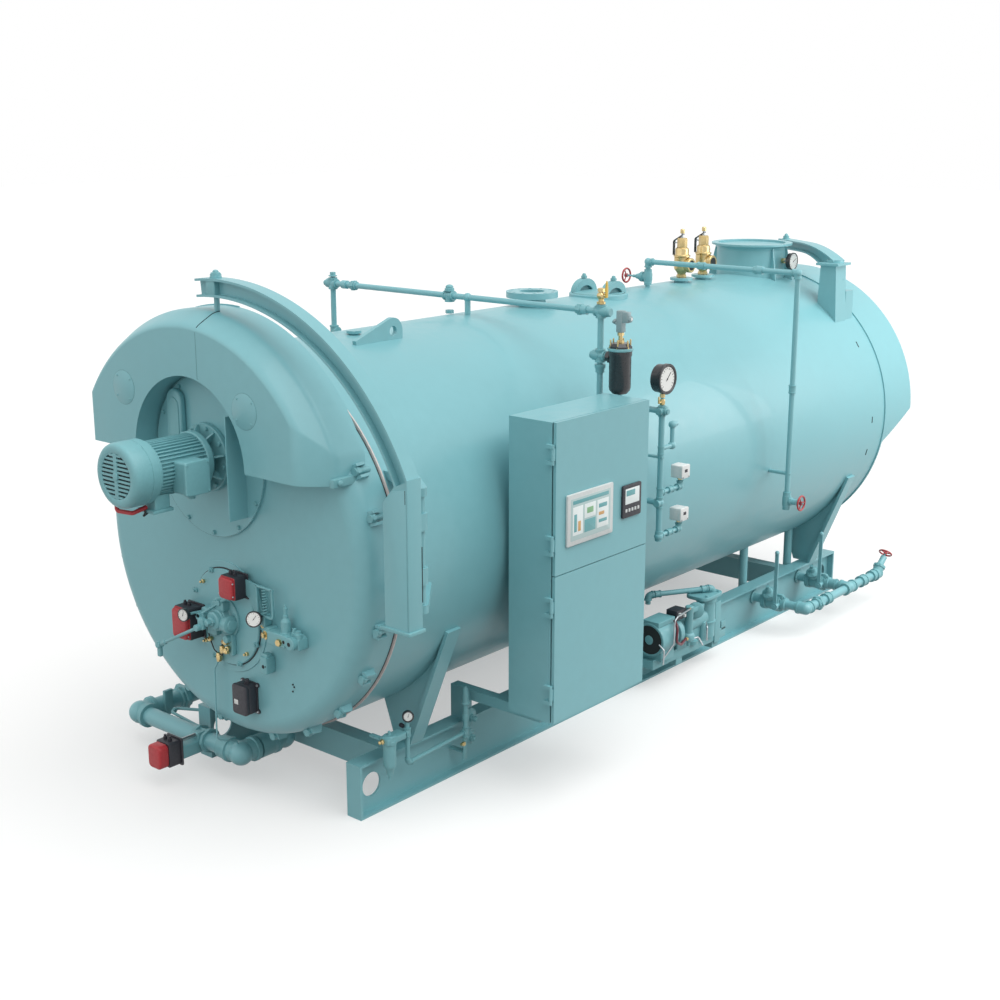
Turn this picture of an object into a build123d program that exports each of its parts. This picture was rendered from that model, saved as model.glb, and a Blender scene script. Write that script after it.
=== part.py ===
# Packaged horizontal fire-tube boiler on a steel skid, with a burner head that swings on a davit.
# +Y runs along the shell from the burner end to the rear, +X points to the control cabinet, +Z is up.
import os
from math import acos, atan2, cos, degrees, radians, sin, sqrt

from build123d import *

# Fits, gaps and the overrun of a cutting shape
seat_gap = 0.3
moving_gap = 5.0
pin_clearance = 0.05
overrun = 40.0

# Rails
rail_outer = 650.0
rail_width = 101.0
rail_height = 301.0
rail_web = 12.0
rail_flange = 14.0
rail_end_plate = 16.0
rail_hole_radius = 66.0
rail_hole_inset = 124.0
rail_inner = rail_outer - rail_width
rail_middle = rail_outer - rail_width / 2
rail_face = rail_middle + rail_web / 2

# Shell
shell_radius = 1000.0
shell_wall = 70.0
shell_lift = 103.0
front_joint = -2650.0
rear_joint = 2424.0
band_height = 8.0
band_width = 14.0
axis_height = rail_height + shell_lift + shell_radius
shell_top = axis_height + shell_radius
shell_inside = shell_radius - shell_wall - seat_gap

# Tube sheets and furnace
sheet_setback = 50.0
sheet_thick = 25.0
rear_sheet_setback = 644.0
furnace_radius = 400.0
furnace_wall = 12.0
furnace_gap = 580.0
furnace_rest_setback = 400.0
furnace_rest_thick = 30.0
furnace_water_gap = 154.0
front_sheet_y = front_joint + sheet_setback
rear_sheet_y = rear_joint - rear_sheet_setback
furnace_end = rear_sheet_y - furnace_gap
furnace_z = axis_height - shell_inside + furnace_water_gap + furnace_wall + furnace_radius

# Skid
rail_front_setback = 33.0
rail_rear_overhang = 18.0
cross_beam_depth = 155.0
cross_beam_width = 100.0
front_beam_setback = 350.0
rear_beam_setback = 544.0
saddle_thick = 20.0
saddle_flange = 100.0
saddle_foot_in = 500.0
saddle_low_x = 430.0
saddle_tip_inset = 85.0
saddle_tip_step = 60.0
saddle_low_step = 200.0
front_saddle_setback = 450.0
rear_saddle_setback = 334.0
rail_front = front_joint + rail_front_setback
rail_rear = rear_joint + rail_rear_overhang
saddle_tip_x = shell_radius - saddle_tip_inset

# Front head
head_depth = 225.0
head_knuckle = 95.0
head_wall = 20.0
refractory_thick = 115.0
throat_radius = 230.0
head_back = front_joint - moving_gap
head_front = head_back - head_depth

# Fan housing and motor
housing_depth = 305.0
housing_lap = 160.0
housing_rise = 196.0
housing_radius = 1015.0
housing_half_width = 856.0
housing_right_width = 936.0
housing_foot = 270.0
housing_facets = 9
housing_bevel = 66.0
housing_bevel_depth = 119.0
motor_x = -90.0
motor_rise = 273.0
arch_wall = 590.0
inlet_plate_gap = 10.0
inlet_plate_thick = 15.0
inlet_fin_x = 277.0
inlet_fin_thick = 8.0
inlet_fin_low = 268.0
inlet_fin_high = 255.0
inlet_fin_setback = 15.0
motor_reach = 577.0
cowl_radius = 161.0
cowl_length = 150.0
motor_radius = 140.0
motor_length = 300.0
motor_flange_radius = 175.0
motor_flange_thick = 30.0
motor_neck_radius = 84.0
terminal_box = (110.0, 150.0, 170.0)
terminal_sink = 25.0
terminal_setback = 62.0
terminal_drop = 29.0
housing_back = head_front + housing_lap
housing_front = housing_back - housing_depth
housing_centre_z = axis_height + housing_rise
housing_bottom = housing_centre_z + housing_foot
arch_radius = housing_radius - arch_wall
inlet_plate_radius = arch_radius - inlet_plate_gap
motor_z = housing_centre_z + motor_rise
motor_front = head_front - motor_reach

# Burner, with the boxes on the head as width, depth and height and an offset from the burner's axis
burner_x = -15.0
burner_plate_radius = 255.0
burner_plate_thick = 20.0
burner_hole_radius = 152.0
burner_body_radius = 70.0
burner_body_length = 90.0
burner_lug_size = (100.0, 70.0, 70.0)
burner_lug_place = (10.0, 75.0)
upper_actuator_size = (112.0, 105.0, 120.0)
upper_actuator_place = (133.0, 205.0)
lower_actuator_size = (127.0, 120.0, 170.0)
lower_actuator_place = (-234.0, -60.0)
damper_rod_radius = 16.0
damper_rod_run = (165.0, 150.0)
gas_block_size = (254.0, 80.0, 66.0)
gas_block_place = (473.0, -3.0)
linkage_size = (110.0, 50.0, 210.0)
linkage_x = 335.0
pilot_block_size = (50.0, 60.0, 90.0)
pilot_block_place = (325.0, -175.0)
regulator_radius = 25.0
regulator_height = 90.0
regulator_stem_radius = 12.0
regulator_stem_height = 50.0
regulator_x = 485.0
regulator_reach = 40.0
junction_box_size = (107.0, 73.0, 159.0)
junction_box_place = (151.0, -398.0)
junction_plate_margin = 15.0
junction_plate_thick = 10.0
burner_z = furnace_z

# Front davit: an arc from its leg to a bolt over the fan housing
davit_radius = 1390.0
davit_lift = 161.0
davit_depth = 90.0
davit_width = 80.0
davit_plate = 12.0
davit_setback = 10.0
davit_leg_clear = 300.0
davit_leg_width = 150.0
davit_leg_drop = 145.0
davit_leg_shoulder = 117.0
davit_leg_angle = 25.0
davit_tip = 115.0
davit_leg_proud = 2.0
davit_base_margin = 12.0
davit_base_thick = 14.0
davit_bolt_radius = 14.0
davit_bolt_end = 24.0
davit_nut_radius = 28.0
davit_nut_height = 24.0
davit_nut_sink = 5.0
davit_pin_radius = 20.0
davit_pin_inset = 78.0
davit_pin_setback = 125.0
davit_lug_rises = (-104.0, 456.0)
davit_lug_thick = 40.0
davit_lug_radius = 32.0
davit_lug_length = 150.0
davit_lug_depth = 120.0
davit_lug_setback = 11.0
knuckle_rises = (36.0, 296.0)
knuckle_length = 80.0
knuckle_radius = 32.0
housing_facet = (180 - 2 * degrees(acos(housing_half_width / housing_radius))) / housing_facets
housing_top = housing_centre_z + housing_radius * cos(radians(housing_facet / 2))
davit_leg_x = shell_radius + davit_leg_clear
davit_x = davit_leg_x - davit_radius * cos(radians(davit_leg_angle))
davit_top = housing_top + davit_lift
davit_z = davit_top - sqrt(davit_radius**2 - davit_x**2)
davit_tip_angle = degrees(acos(-davit_x / davit_radius) + davit_tip / davit_radius)
davit_y = head_front + davit_setback
davit_leg_bottom = axis_height - davit_leg_drop
davit_leg_top = davit_z + davit_radius * sin(radians(davit_leg_angle))
davit_pin_x = davit_leg_x - davit_pin_inset
davit_pin_y = davit_y + davit_pin_setback
davit_lug_levels = [axis_height + rise for rise in davit_lug_rises]
knuckle_levels = [axis_height + rise for rise in knuckle_rises]

# Rear head and its davit
rear_head_length = 416.0
rear_slant_drop = 214.0
rear_slant_rise = 210.0
rear_wall = 20.0
post_setback = 324.0
post_depth = 260.0
post_step_depth = 150.0
post_height = 86.0
post_x = 647.5
post_width = 175.0
post_foot_rise = 500.0
post_taper = 28.0
post_step_drop = 190.0
post_step_inset = 15.0
post_cap_thick = 16.0
post_cap_margin = 20.0
rear_boss_radius = 60.0
rear_boss_height = 20.0
rear_boss_setback = 100.0
rear_bolt_reach = 206.0
rear_arm_width = 90.0
rear_arm_rise = 85.0
rear_arm_depth = 70.0
rear_arm_tip = 40.0
rear_head_end = rear_joint + rear_head_length
rear_slant_low = axis_height - rear_slant_drop
post_y = rear_joint - post_setback
post_top = shell_top + post_height
post_left = post_x - post_width / 2
post_right = post_x + post_width / 2
post_foot = axis_height + post_foot_rise
rear_boss_y = post_y + rear_boss_setback
rear_boss_low = post_top + post_cap_thick
rear_boss_top = rear_boss_low + rear_boss_height
rear_bolt_y = rear_joint + rear_bolt_reach

# Top fittings
stack_setback = 293.0
stack_radius = 254.0
stack_wall = 10.0
stack_height = 215.0
stack_flange_radius = 293.0
stack_flange_thick = 14.0
nozzle_y = -436.0
nozzle_radius = 84.0
nozzle_bore = 77.0
nozzle_bore_depth = 80.0
nozzle_height = 85.0
nozzle_flange_radius = 159.0
nozzle_flange_thick = 36.0
nozzle_bolt_circle = 135.0
nozzle_bolts = 12
nozzle_bolt_radius = 11.0
manway_y = 245.0
manway_radius = 195.0
manway_height = 24.0
manway_cover_radius = 172.0
manway_cover_thick = 12.0
yoke_offset = 78.0
yoke_width = 32.0
yoke_height = 34.0
yoke_thick = 20.0
yoke_bolt_radius = 12.0
yoke_bolt_height = 50.0
inspection_setback = 650.0
inspection_x = 50.0
inspection_radius = 40.0
inspection_neck = 28.0
inspection_height = 20.0
inspection_flange = 14.0
lug_x = 215.0
lug_setback = 490.0
lug_length = 360.0
lug_height = 114.0
lug_thick = 25.0
lug_hole_radius = 27.0
lug_hole_setback = 93.0
lug_hole_drop = 75.0
lug_shoulder = 60.0
safety_y = (1205.0, 1475.0)
safety_neck_height = 16.0
safety_radius = 62.0
safety_body_height = 130.0
safety_bonnet_radius = 46.0
safety_bonnet_height = 120.0
safety_cap_radius = 25.0
safety_cap_height = 82.0
safety_outlet_radius = 43.0
safety_outlet_length = 105.0
safety_outlet_height = 75.0
safety_neck_radius = 50.0
safety_flange_radius = 78.0
safety_flange_thick = 16.0
thermometer_drop = 120.0
thermometer_stem_radius = 10.0
thermometer_stem_length = 70.0
thermometer_dial_radius = 62.0
thermometer_dial_thick = 30.0
stack_y = rear_joint - stack_setback
stack_top = shell_top + stack_height
nozzle_top = shell_top + nozzle_height
manway_cover = shell_top + manway_height
manway_top = manway_cover + manway_cover_thick
safety_base_top = shell_top + safety_neck_height + safety_flange_thick

# Steam header and water columns
pipe_radius = 17.0
fitting_radius = 26.0
header_y = -1030.0
header_rise = 101.0
header_union = 40.0
header_union_left = 90.0
header_union_right = 130.0
column_right_inset = 39.0
column_left_clear = 127.0
column_right_rise = 446.0
column_left_rise = -224.0
column_end = 40.0
column_tee = 34.0
level_offset = 134.0
level_radius = 60.0
level_drop = 437.0
level_height = 229.0
level_rim = 6.0
level_rim_height = 12.0
level_branch_drop = 240.0
level_stem_radius = 12.0
conduit_head_size = (60.0, 60.0, 120.0)
conduit_head_rise = 103.0
cock_radius = 14.0
cock_height = 90.0
cock_ball_radius = 20.0
cock_handle = (78.0, 12.0, 8.0)
cock_handle_rise = 70.0
header_z = shell_top + header_rise
column_right = shell_radius - column_right_inset
column_left = -shell_radius - column_left_clear
column_right_low = axis_height + column_right_rise
column_left_low = axis_height + column_left_rise
level_bottom = header_z - level_drop

# Steam gauge manifold
gauge_clear = 150.0
gauge_y = -697.0
manifold_rise = 527.0
manifold_bar_drop = 531.0
manifold_length = 728.0
gauge_radius = 80.0
gauge_case = 74.0
gauge_rise = 181.0
gauge_depth = 70.0
gauge_rim = 15.0
gauge_stem_radius = 8.5
siphon_drop = 215.0
siphon_run = 110.0
siphon_rise = 120.0
siphon_end = 40.0
siphon_radius = 13.0
siphon_fitting = 23.0
switch_size = 80.0
switch_drops = (382.0, 635.0)
switch_reach = 205.0
switch_pipe_radius = 12.0
switch_fitting = 21.0
switch_loop = 90.0
gauge_x = shell_radius + gauge_clear
manifold_top = axis_height + manifold_rise
manifold_low_bar = manifold_top - manifold_bar_drop
manifold_bottom = manifold_top - manifold_length
gauge_z = manifold_top + gauge_rise
switch_levels = [manifold_top - drop for drop in switch_drops]

# Control cabinet
cabinet_clear = 37.0
cabinet_depth = 275.0
cabinet_left = -1894.0
cabinet_width = 800.0
cabinet_drop = 914.0
cabinet_height = 1586.0
cabinet_sheet = 6.0
lower_door_height = 795.0
door_thick = 18.0
door_edge_gap = 3.0
hinge_radius = 9.0
hinge_pin_radius = 5.0
hinge_reach = 11.0
hinge_length = 60.0
hinge_lug = 20.0
hinge_inset = 130.0
hinge_strap = 25.0
hinge_leaf = 10.0
hinge_play = 1.0
screen_inset = 86.0
screen_width = 388.0
screen_height = 271.0
screen_rise = 932.0
screen_thick = 14.0
controller_gap = 88.0
controller_width = 166.0
controller_height = 178.0
controller_rise = 50.0
bracket_arm = 60.0
bracket_arm_reach = 143.0
bracket_pad_height = 200.0
bracket_inset = 115.0
cabinet_back = shell_radius + cabinet_clear
cabinet_front = cabinet_back + cabinet_depth
cabinet_right = cabinet_left + cabinet_width
cabinet_bottom = axis_height - cabinet_drop
cabinet_top = cabinet_bottom + cabinet_height
door_seam = cabinet_bottom + lower_door_height
door_front = cabinet_front + moving_gap + door_thick
hinge_x = door_front - door_thick / 2
hinge_y = cabinet_left - hinge_reach
door_left = hinge_y + hinge_radius + moving_gap + door_edge_gap
door_spans = ((door_seam + moving_gap / 2, cabinet_top), (cabinet_bottom, door_seam - moving_gap / 2))

# Surface blow line
blow_y = 800.0
blow_rise = 170.0
blow_clear = 130.0
blow_drop = 294.0
wheel_radius = 46.0
wheel_rim = 6.5
wheel_hub_radius = 13.0
wheel_hub_length = 18.0
wheel_spoke_radius = 3.9
wheel_stem = 6.0
wheel_stem_end = 15.0
top_valve_rise = 68.0
top_wheel_reach = 177.0
drop_wheel_reach = 105.0
valve_radius = 27.0
valve_half_length = 38.0
bonnet_radius = 20.0
bonnet_length = 75.0
blow_union_inset = 294.0
blow_union_length = 45.0
blow_clip_rise = 180.0
blow_clip_radius = 12.0
blow_z = shell_top + blow_rise
blow_x = shell_radius + blow_clear
blow_low = axis_height - blow_drop
top_valve_z = shell_top + top_valve_rise
top_wheel_x = -top_wheel_reach
drop_wheel_x = blow_x + drop_wheel_reach

# Bottom blowdown
blowdown_setbacks = (1081.0, 452.0)
blowdown_z = 205.0
blowdown_radius = 30.0
rail_port_radius = 40.0
blowdown_valve_clear = 110.0
blowdown_body_radius = 51.0
blowdown_body_length = 100.0
blowdown_flange_radius = 60.0
blowdown_flange_thick = 18.0
blowdown_drop_gap = 10.0
blowdown_tee_length = 50.0
blowdown_tee_radius = 42.0
blowdown_union_start = 150.0
blowdown_union_length = 50.0
blowdown_pipe_clear = 370.0
blowdown_pipe_setback = 30.0
blowdown_wheel_rise = 130.0
blowdown_wheel_run = 150.0
blowdown_wheel_tilt = 40.0
blowdown_neck_radius = 24.0
blowdown_neck_end = 35.0
lever_clear = 180.0
lever_offset = 95.0
lever_length = 390.0
lever_width = 26.0
lever_thick = 10.0
lever_hub_radius = 24.0
lever_shaft_radius = 12.0
lever_shaft_end = 15.0
lever_knob_radius = 15.6
blowdown_ys = [rear_joint - setback for setback in blowdown_setbacks]
blowdown_valve_x = rail_outer + blowdown_valve_clear
blowdown_pipe_x = rail_outer + blowdown_pipe_clear
blowdown_pipe_end = rear_joint - blowdown_pipe_setback
lever_x = rail_outer + lever_clear

# Air compressor set on the skid
tray_front = -196.0
tray_length = 850.0
tray_width = 150.0
tray_top = 205.0
tray_thick = 55.0
tray_arm_width = 70.0
tray_arm_depth = 48.0
tray_arm_inset = 10.0
tray_arm_steps = (305.0, 732.0)
compressor_clear = 112.0
compressor_motor_rise = 138.0
compressor_motor_radius = 108.0
compressor_motor_setback = 46.0
compressor_motor_length = 210.0
motor_foot_width = 160.0
motor_foot_inset = 25.0
motor_foot_rise = 70.0
pump_radius = 60.0
pump_foot_width = 110.0
pump_foot_inset = 40.0
tank_gap = 348.0
tank_radius = 62.0
tank_height = 275.0
tank_plate = (70.0, 95.0)
tank_plate_front = 170.0
tank_plate_rear = 60.0
tank_plate_thick = 25.0
air_pipe_offset = 40.0
air_pipe_rise = 25.0
air_pipe_end = (565.0, 73.0)
air_pipe_drop = 60.0
tray_rear = tray_front + tray_length
tray_reach = rail_outer + tray_width
compressor_x = rail_outer + compressor_clear
compressor_motor_z = tray_top + compressor_motor_rise
compressor_motor_front = tray_front + compressor_motor_setback
compressor_motor_rear = compressor_motor_front + compressor_motor_length
tank_y = compressor_motor_rear + tank_gap + tank_radius
tank_cap = tray_top + tank_height
tank_top = tank_cap + tank_plate_thick

# Gas line under the head
gas_radius = 50.0
gas_fitting = 66.0
gas_z = 200.0
gas_reach = 102.0
gas_clear = 10.0
gas_right = -125.0
gas_inlet_setback = 500.0
gas_riser_setback = 200.0
gas_flange_radius = 95.0
gas_flange_thick = 22.0
gas_coupling_setback = 120.0
gas_coupling_length = 110.0
gas_actuator_x = -440.0
gas_actuator_reach = 258.0
gas_actuator_size = (115.0, 160.0, 140.0)
gas_arm_width = 40.0
gas_arm_height = 40.0
gas_left = -shell_radius - gas_clear
gas_y = front_joint - gas_reach
gas_inlet = front_joint + gas_inlet_setback
gas_riser_y = front_joint + gas_riser_setback
gas_actuator_y = gas_y - gas_actuator_reach

# Air filter line on the right rail
filter_clear = 70.0
filter_setback = 147.0
filter_radius = 36.0
filter_low = 262.0
filter_height = 178.0
filter_cup_radius = 18.0
filter_cup_height = 40.0
filter_link_radius = 22.0
filter_link_drop = 30.0
filter_link_length = 135.0
filter_pipe_z = 250.0
filter_pipe_radius = 12.0
filter_pipe_length = 455.0
filter_elbow_radius = 18.0
filter_gauge_rise = 265.0
filter_gauge_radius = 31.0
filter_gauge_depth = 35.0
air_regulator_size = (80.0, 90.0, 155.0)
air_regulator_rise = 32.0
filter_clip_width = 40.0
filter_clip_thick = 12.0
filter_clip_setback = 120.0
filter_x = rail_outer + filter_clear
filter_y = rail_front + filter_setback
filter_high = filter_low + filter_height
filter_gauge_y = filter_y + filter_link_length
filter_pipe_end = filter_gauge_y + filter_pipe_length
filter_gauge_z = filter_pipe_z + filter_gauge_rise


# Basic shapes

def bar(radius, start, end):
    run = Vector(*end) - Vector(*start)
    return Solid.make_cylinder(radius, run.length, Plane(origin=start, z_dir=run.normalized()))


def upright(radius, x, y, low, high):
    return bar(radius, (x, y, low), (x, y, high))


def block(low, high):
    size = [high[i] - low[i] for i in range(3)]
    return Solid.make_box(*size, Plane(origin=low))


def ball(radius, centre):
    return Solid.make_sphere(radius, Plane(origin=centre), angle1=-90, angle2=90, angle3=360)


def join(*pieces):
    result = Part()
    for piece in pieces:
        result += piece
    return result


def plate_xz(points, y_low, y_high):
    # A flat plate from an outline of (x, z) points.
    face = make_face(Plane.XZ * Polyline(*points, close=True))
    return extrude(face, amount=y_high - y_low, dir=(0, 1, 0)).moved(Location((0, y_low, 0)))


def plate_xy(points, z_low, z_high):
    # A flat plate from an outline of (x, y) points.
    face = make_face(Polyline(*points, close=True))
    return extrude(face, amount=z_high - z_low).moved(Location((0, 0, z_low)))


def plate_yz(points, x_low, x_high):
    # A flat plate from an outline of (y, z) points.
    face = make_face(Plane.YZ * Polyline(*points, close=True))
    return extrude(face, amount=x_high - x_low, dir=(1, 0, 0)).moved(Location((x_low, 0, 0)))


def shell_bar(radius, y_low, y_high):
    # A round bar on the shell's axis.
    return bar(radius, (0, y_low, axis_height), (0, y_high, axis_height))


def shell_height(x):
    # Height of the top of the shell at a distance from its centre line.
    return axis_height + sqrt(shell_radius**2 - x**2)


def shell_reach(z):
    # Half width of the shell at a height.
    return sqrt(shell_radius**2 - (z - axis_height) ** 2)


shell_space = shell_bar(shell_radius + seat_gap, front_joint - overrun, rear_joint + overrun)


def standing_box(size, place, back):
    # A box of (width, depth, height) in front of a back face, centred on a place beside the burner's axis.
    x, z = burner_x + place[0], burner_z + place[1]
    return block((x - size[0] / 2, back - size[1], z - size[2] / 2), (x + size[0] / 2, back, z + size[2] / 2))


def seated(piece):
    # The part of a piece that stands outside the shell.
    return piece - shell_space


def pipe(points, radius, fitting):
    # Straight runs of pipe between round screwed fittings.
    runs = [bar(radius, a, b) for a, b in zip(points[:-1], points[1:])]
    corners = [ball(fitting, p) for p in points[1:-1]]
    return join(*runs, *corners)


def handwheel(centre, axis):
    # A rim on three spokes, bored for its stem.
    plane = Plane(origin=centre, z_dir=axis)
    rim = Solid.make_torus(wheel_radius, wheel_rim, plane)
    hub = Solid.make_cylinder(wheel_hub_radius, wheel_hub_length, plane.offset(-wheel_hub_length / 2))
    wheel = join(rim, hub)
    for turn in (30, 150, 270):
        way = plane.x_dir * cos(radians(turn)) + plane.y_dir * sin(radians(turn))
        wheel += bar(wheel_spoke_radius, centre, tuple(Vector(*centre) + way * wheel_radius))
    bore = wheel_stem + pin_clearance
    return wheel - Solid.make_cylinder(bore, 2 * wheel_hub_length, plane.offset(-wheel_hub_length))


def wheel_stem_bar(start, centre, axis):
    # A valve stem that runs through its wheel.
    way = Vector(*axis).normalized()
    return bar(wheel_stem, start, tuple(Vector(*centre) + way * wheel_stem_end))


# Skid

def make_rail(side):
    inner, mid = rail_inner, rail_middle
    rail = join(
        block((inner, rail_front, 0), (rail_outer, rail_rear, rail_flange)),
        block((inner, rail_front, rail_height - rail_flange), (rail_outer, rail_rear, rail_height)),
        block((mid - rail_web / 2, rail_front, 0), (mid + rail_web / 2, rail_rear, rail_height)),
        block((inner, rail_front, 0), (rail_outer, rail_front + rail_end_plate, rail_height)),
        block((inner, rail_rear - rail_end_plate, 0), (rail_outer, rail_rear, rail_height)),
    )
    for y in (rail_front + rail_hole_inset, rail_rear - rail_hole_inset):
        rail -= bar(rail_hole_radius, (inner, y, rail_height / 2), (rail_outer, y, rail_height / 2))
    if side > 0:
        for y in blowdown_ys:
            rail -= bar(rail_port_radius, (inner, y, blowdown_z), (rail_outer, y, blowdown_z))
    return rail if side > 0 else mirror(rail, about=Plane.YZ)


def make_cross_beams():
    high = rail_height - rail_flange
    low = high - cross_beam_depth
    reach = rail_middle - rail_web / 2
    beams = Part()
    for y in (front_joint + front_beam_setback, rear_joint - rear_beam_setback):
        beams += block((-reach, y - cross_beam_width / 2, low), (reach, y + cross_beam_width / 2, high))
    return beams


def make_saddles():
    saddles = Part()
    foot_out = rail_outer - rail_flange
    tip_z = axis_height - sqrt(shell_radius**2 - saddle_tip_x**2)
    low_z = axis_height - sqrt(shell_radius**2 - saddle_low_x**2)
    outline = [
        (saddle_foot_in, rail_height), (foot_out, rail_height), (saddle_tip_x, tip_z),
        (saddle_tip_x - saddle_tip_step, tip_z + saddle_tip_step),
        (saddle_low_x, low_z + saddle_low_step), (saddle_low_x, low_z),
    ]
    lean = Vector(saddle_tip_x - foot_out, tip_z - rail_height)
    side = Vector(lean.Y, -lean.X).normalized() * saddle_thick
    edge = [
        (foot_out, rail_height), (foot_out + saddle_thick, rail_height),
        (saddle_tip_x + side.X, tip_z + side.Y), (saddle_tip_x, tip_z),
    ]
    for y in (front_joint + front_saddle_setback, rear_joint - rear_saddle_setback):
        web = plate_xz(outline, y - saddle_thick / 2, y + saddle_thick / 2)
        flange = plate_xz(edge, y - saddle_flange / 2, y + saddle_flange / 2)
        leg = seated(join(web, flange))
        saddles += leg
        saddles += mirror(leg, about=Plane.YZ)
    return saddles


# Pressure vessel

def make_shell():
    shell = join(
        shell_bar(shell_radius, front_joint, rear_joint),
        shell_bar(shell_radius + band_height, front_joint, front_joint + band_width),
        shell_bar(shell_radius + band_height, rear_joint - band_width, rear_joint),
    )
    shell -= shell_bar(shell_radius - shell_wall, front_joint - overrun, rear_joint + overrun)
    return shell - bar(stack_radius - stack_wall, (0, stack_y, axis_height), (0, stack_y, stack_top))


def make_front_sheet():
    face = front_sheet_y
    back = face + sheet_thick
    sheet = shell_bar(shell_inside, face, back)
    mouth = furnace_radius + furnace_wall + seat_gap
    return sheet - bar(mouth, (0, face - overrun, furnace_z), (0, back + overrun, furnace_z))


def make_rear_sheet():
    return shell_bar(shell_inside, rear_sheet_y, rear_sheet_y + sheet_thick)


def make_furnace():
    start = front_sheet_y
    rest_y = furnace_end - furnace_rest_setback
    z = furnace_z
    outside = bar(furnace_radius + furnace_wall, (0, start, z), (0, furnace_end, z))
    inside = bar(furnace_radius, (0, start - overrun, z), (0, furnace_end - furnace_wall, z))
    rest = shell_bar(shell_inside, rest_y, rest_y + furnace_rest_thick)
    return join(outside, rest) - inside


# Front head

def burner_bar(radius, front, back):
    # A round bar on the burner's axis.
    return bar(radius, (burner_x, front, burner_z), (burner_x, back, burner_z))


def dished(radius, back, front, knuckle):
    # A flat head with a rounded rim.
    head = shell_bar(radius, front, back)
    rim = head.edges().filter_by(GeomType.CIRCLE).sort_by(Axis.Y)[0]
    return head.fillet(knuckle, [rim])


def make_head():
    outside = dished(shell_radius, head_back, head_front, head_knuckle)
    front = head_front + head_wall
    inside = dished(shell_radius - head_wall, head_back + overrun, front, head_knuckle - head_wall)
    return outside - inside - burner_bar(burner_hole_radius, head_front - overrun, head_back)


def make_refractory():
    back = head_back - moving_gap
    front = back - refractory_thick
    lining = shell_bar(shell_radius - head_wall - seat_gap, front, back)
    return lining - burner_bar(throat_radius, front - overrun, back + overrun)


def housing_outline(radius, left, right):
    # Upright sides closed by a faceted arc over the fan's axis, drawn out to the wider right side.
    start = degrees(acos(left / radius))
    step = (180 - 2 * start) / housing_facets
    turns = [radians(start + step * i) for i in range(housing_facets + 1)]
    widths = [right / left if cos(a) > 0 else 1 for a in turns]
    arc = [(motor_x + w * radius * cos(a), housing_centre_z + radius * sin(a)) for a, w in zip(turns, widths)]
    return [(motor_x + right, housing_bottom), *arc, (motor_x - left, housing_bottom)]


def make_housing():
    narrow = housing_half_width - housing_bevel
    small = housing_outline(housing_radius - housing_bevel, narrow, narrow)
    large = housing_outline(housing_radius, housing_half_width, housing_right_width)
    bevel_back = housing_front + housing_bevel_depth
    rims = [Wire.make_polygon([(x, y, z) for x, z in rim], close=True)
            for rim, y in ((small, housing_front), (large, bevel_back))]
    body = join(Solid.make_loft(rims, ruled=True), plate_xz(large, bevel_back, housing_back))
    front, back = housing_front - overrun, housing_back + overrun
    arch = bar(arch_radius, (motor_x, front, motor_z), (motor_x, back, motor_z))
    head_space = dished(shell_radius + seat_gap, back, head_front - seat_gap, head_knuckle)
    return body - arch - head_space


def make_inlet():
    back = head_front
    front = back - inlet_plate_thick
    x = motor_x + inlet_fin_x
    disc = bar(inlet_plate_radius, (motor_x, front, motor_z), (motor_x, back, motor_z))
    fin = block((x - inlet_fin_thick / 2, housing_front + inlet_fin_setback, motor_z - inlet_fin_low),
                (x + inlet_fin_thick / 2, front, motor_z + inlet_fin_high))
    return join(disc, fin)


def make_motor():
    cowl_back = motor_front + cowl_length
    body_back = cowl_back + motor_length
    seat = head_front - inlet_plate_thick

    def on_axis(radius, front, back):
        return bar(radius, (motor_x, front, motor_z), (motor_x, back, motor_z))

    inner = motor_x + motor_radius - terminal_sink
    box_back = body_back - terminal_setback
    box_z = motor_z - terminal_drop
    return join(
        on_axis(cowl_radius, motor_front, cowl_back),
        on_axis(motor_radius, cowl_back, body_back),
        on_axis(motor_neck_radius, body_back, seat),
        on_axis(motor_flange_radius, seat - motor_flange_thick, seat),
        block((inner, box_back - terminal_box[1], box_z - terminal_box[2] / 2),
              (inner + terminal_box[0], box_back, box_z + terminal_box[2] / 2)),
    )


def make_burner():
    front = head_front - burner_plate_thick
    plate = burner_bar(burner_plate_radius, front, head_front)
    body = burner_bar(burner_body_radius, front - burner_body_length, front)
    return join(plate, body, standing_box(burner_lug_size, burner_lug_place, front))


def make_burner_actuators():
    # Two boxes on the burner plate, and the damper rod on the lower one.
    face = head_front - burner_plate_thick
    x_low, z_low = lower_actuator_place
    rod_y = face - lower_actuator_size[1] - damper_rod_radius / 2
    rod_x, rod_z = burner_x + x_low, burner_z + z_low
    return join(
        standing_box(upper_actuator_size, upper_actuator_place, face),
        standing_box(lower_actuator_size, lower_actuator_place, face),
        bar(damper_rod_radius, (rod_x, rod_y, rod_z),
            (rod_x - damper_rod_run[0], rod_y, rod_z - damper_rod_run[1])),
    )


def make_gas_block():
    face = head_front
    top = gas_block_place[1] + gas_block_size[2] / 2
    x, y, z = burner_x + regulator_x, face - regulator_reach, burner_z + top
    stem = z + regulator_height
    return join(
        standing_box(gas_block_size, gas_block_place, face),
        bar(regulator_radius, (x, y, z), (x, y, stem)),
        bar(regulator_stem_radius, (x, y, stem), (x, y, stem + regulator_stem_height)),
        standing_box(linkage_size, (linkage_x, top + linkage_size[2] / 2), face),
        standing_box(pilot_block_size, pilot_block_place, face),
    )


def make_junction_box():
    edge = 2 * junction_plate_margin
    plate = (junction_box_size[0] + edge, junction_plate_thick, junction_box_size[2] + edge)
    return join(
        standing_box(junction_box_size, junction_box_place, head_front - junction_plate_thick),
        standing_box(plate, junction_box_place, head_front),
    )


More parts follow.
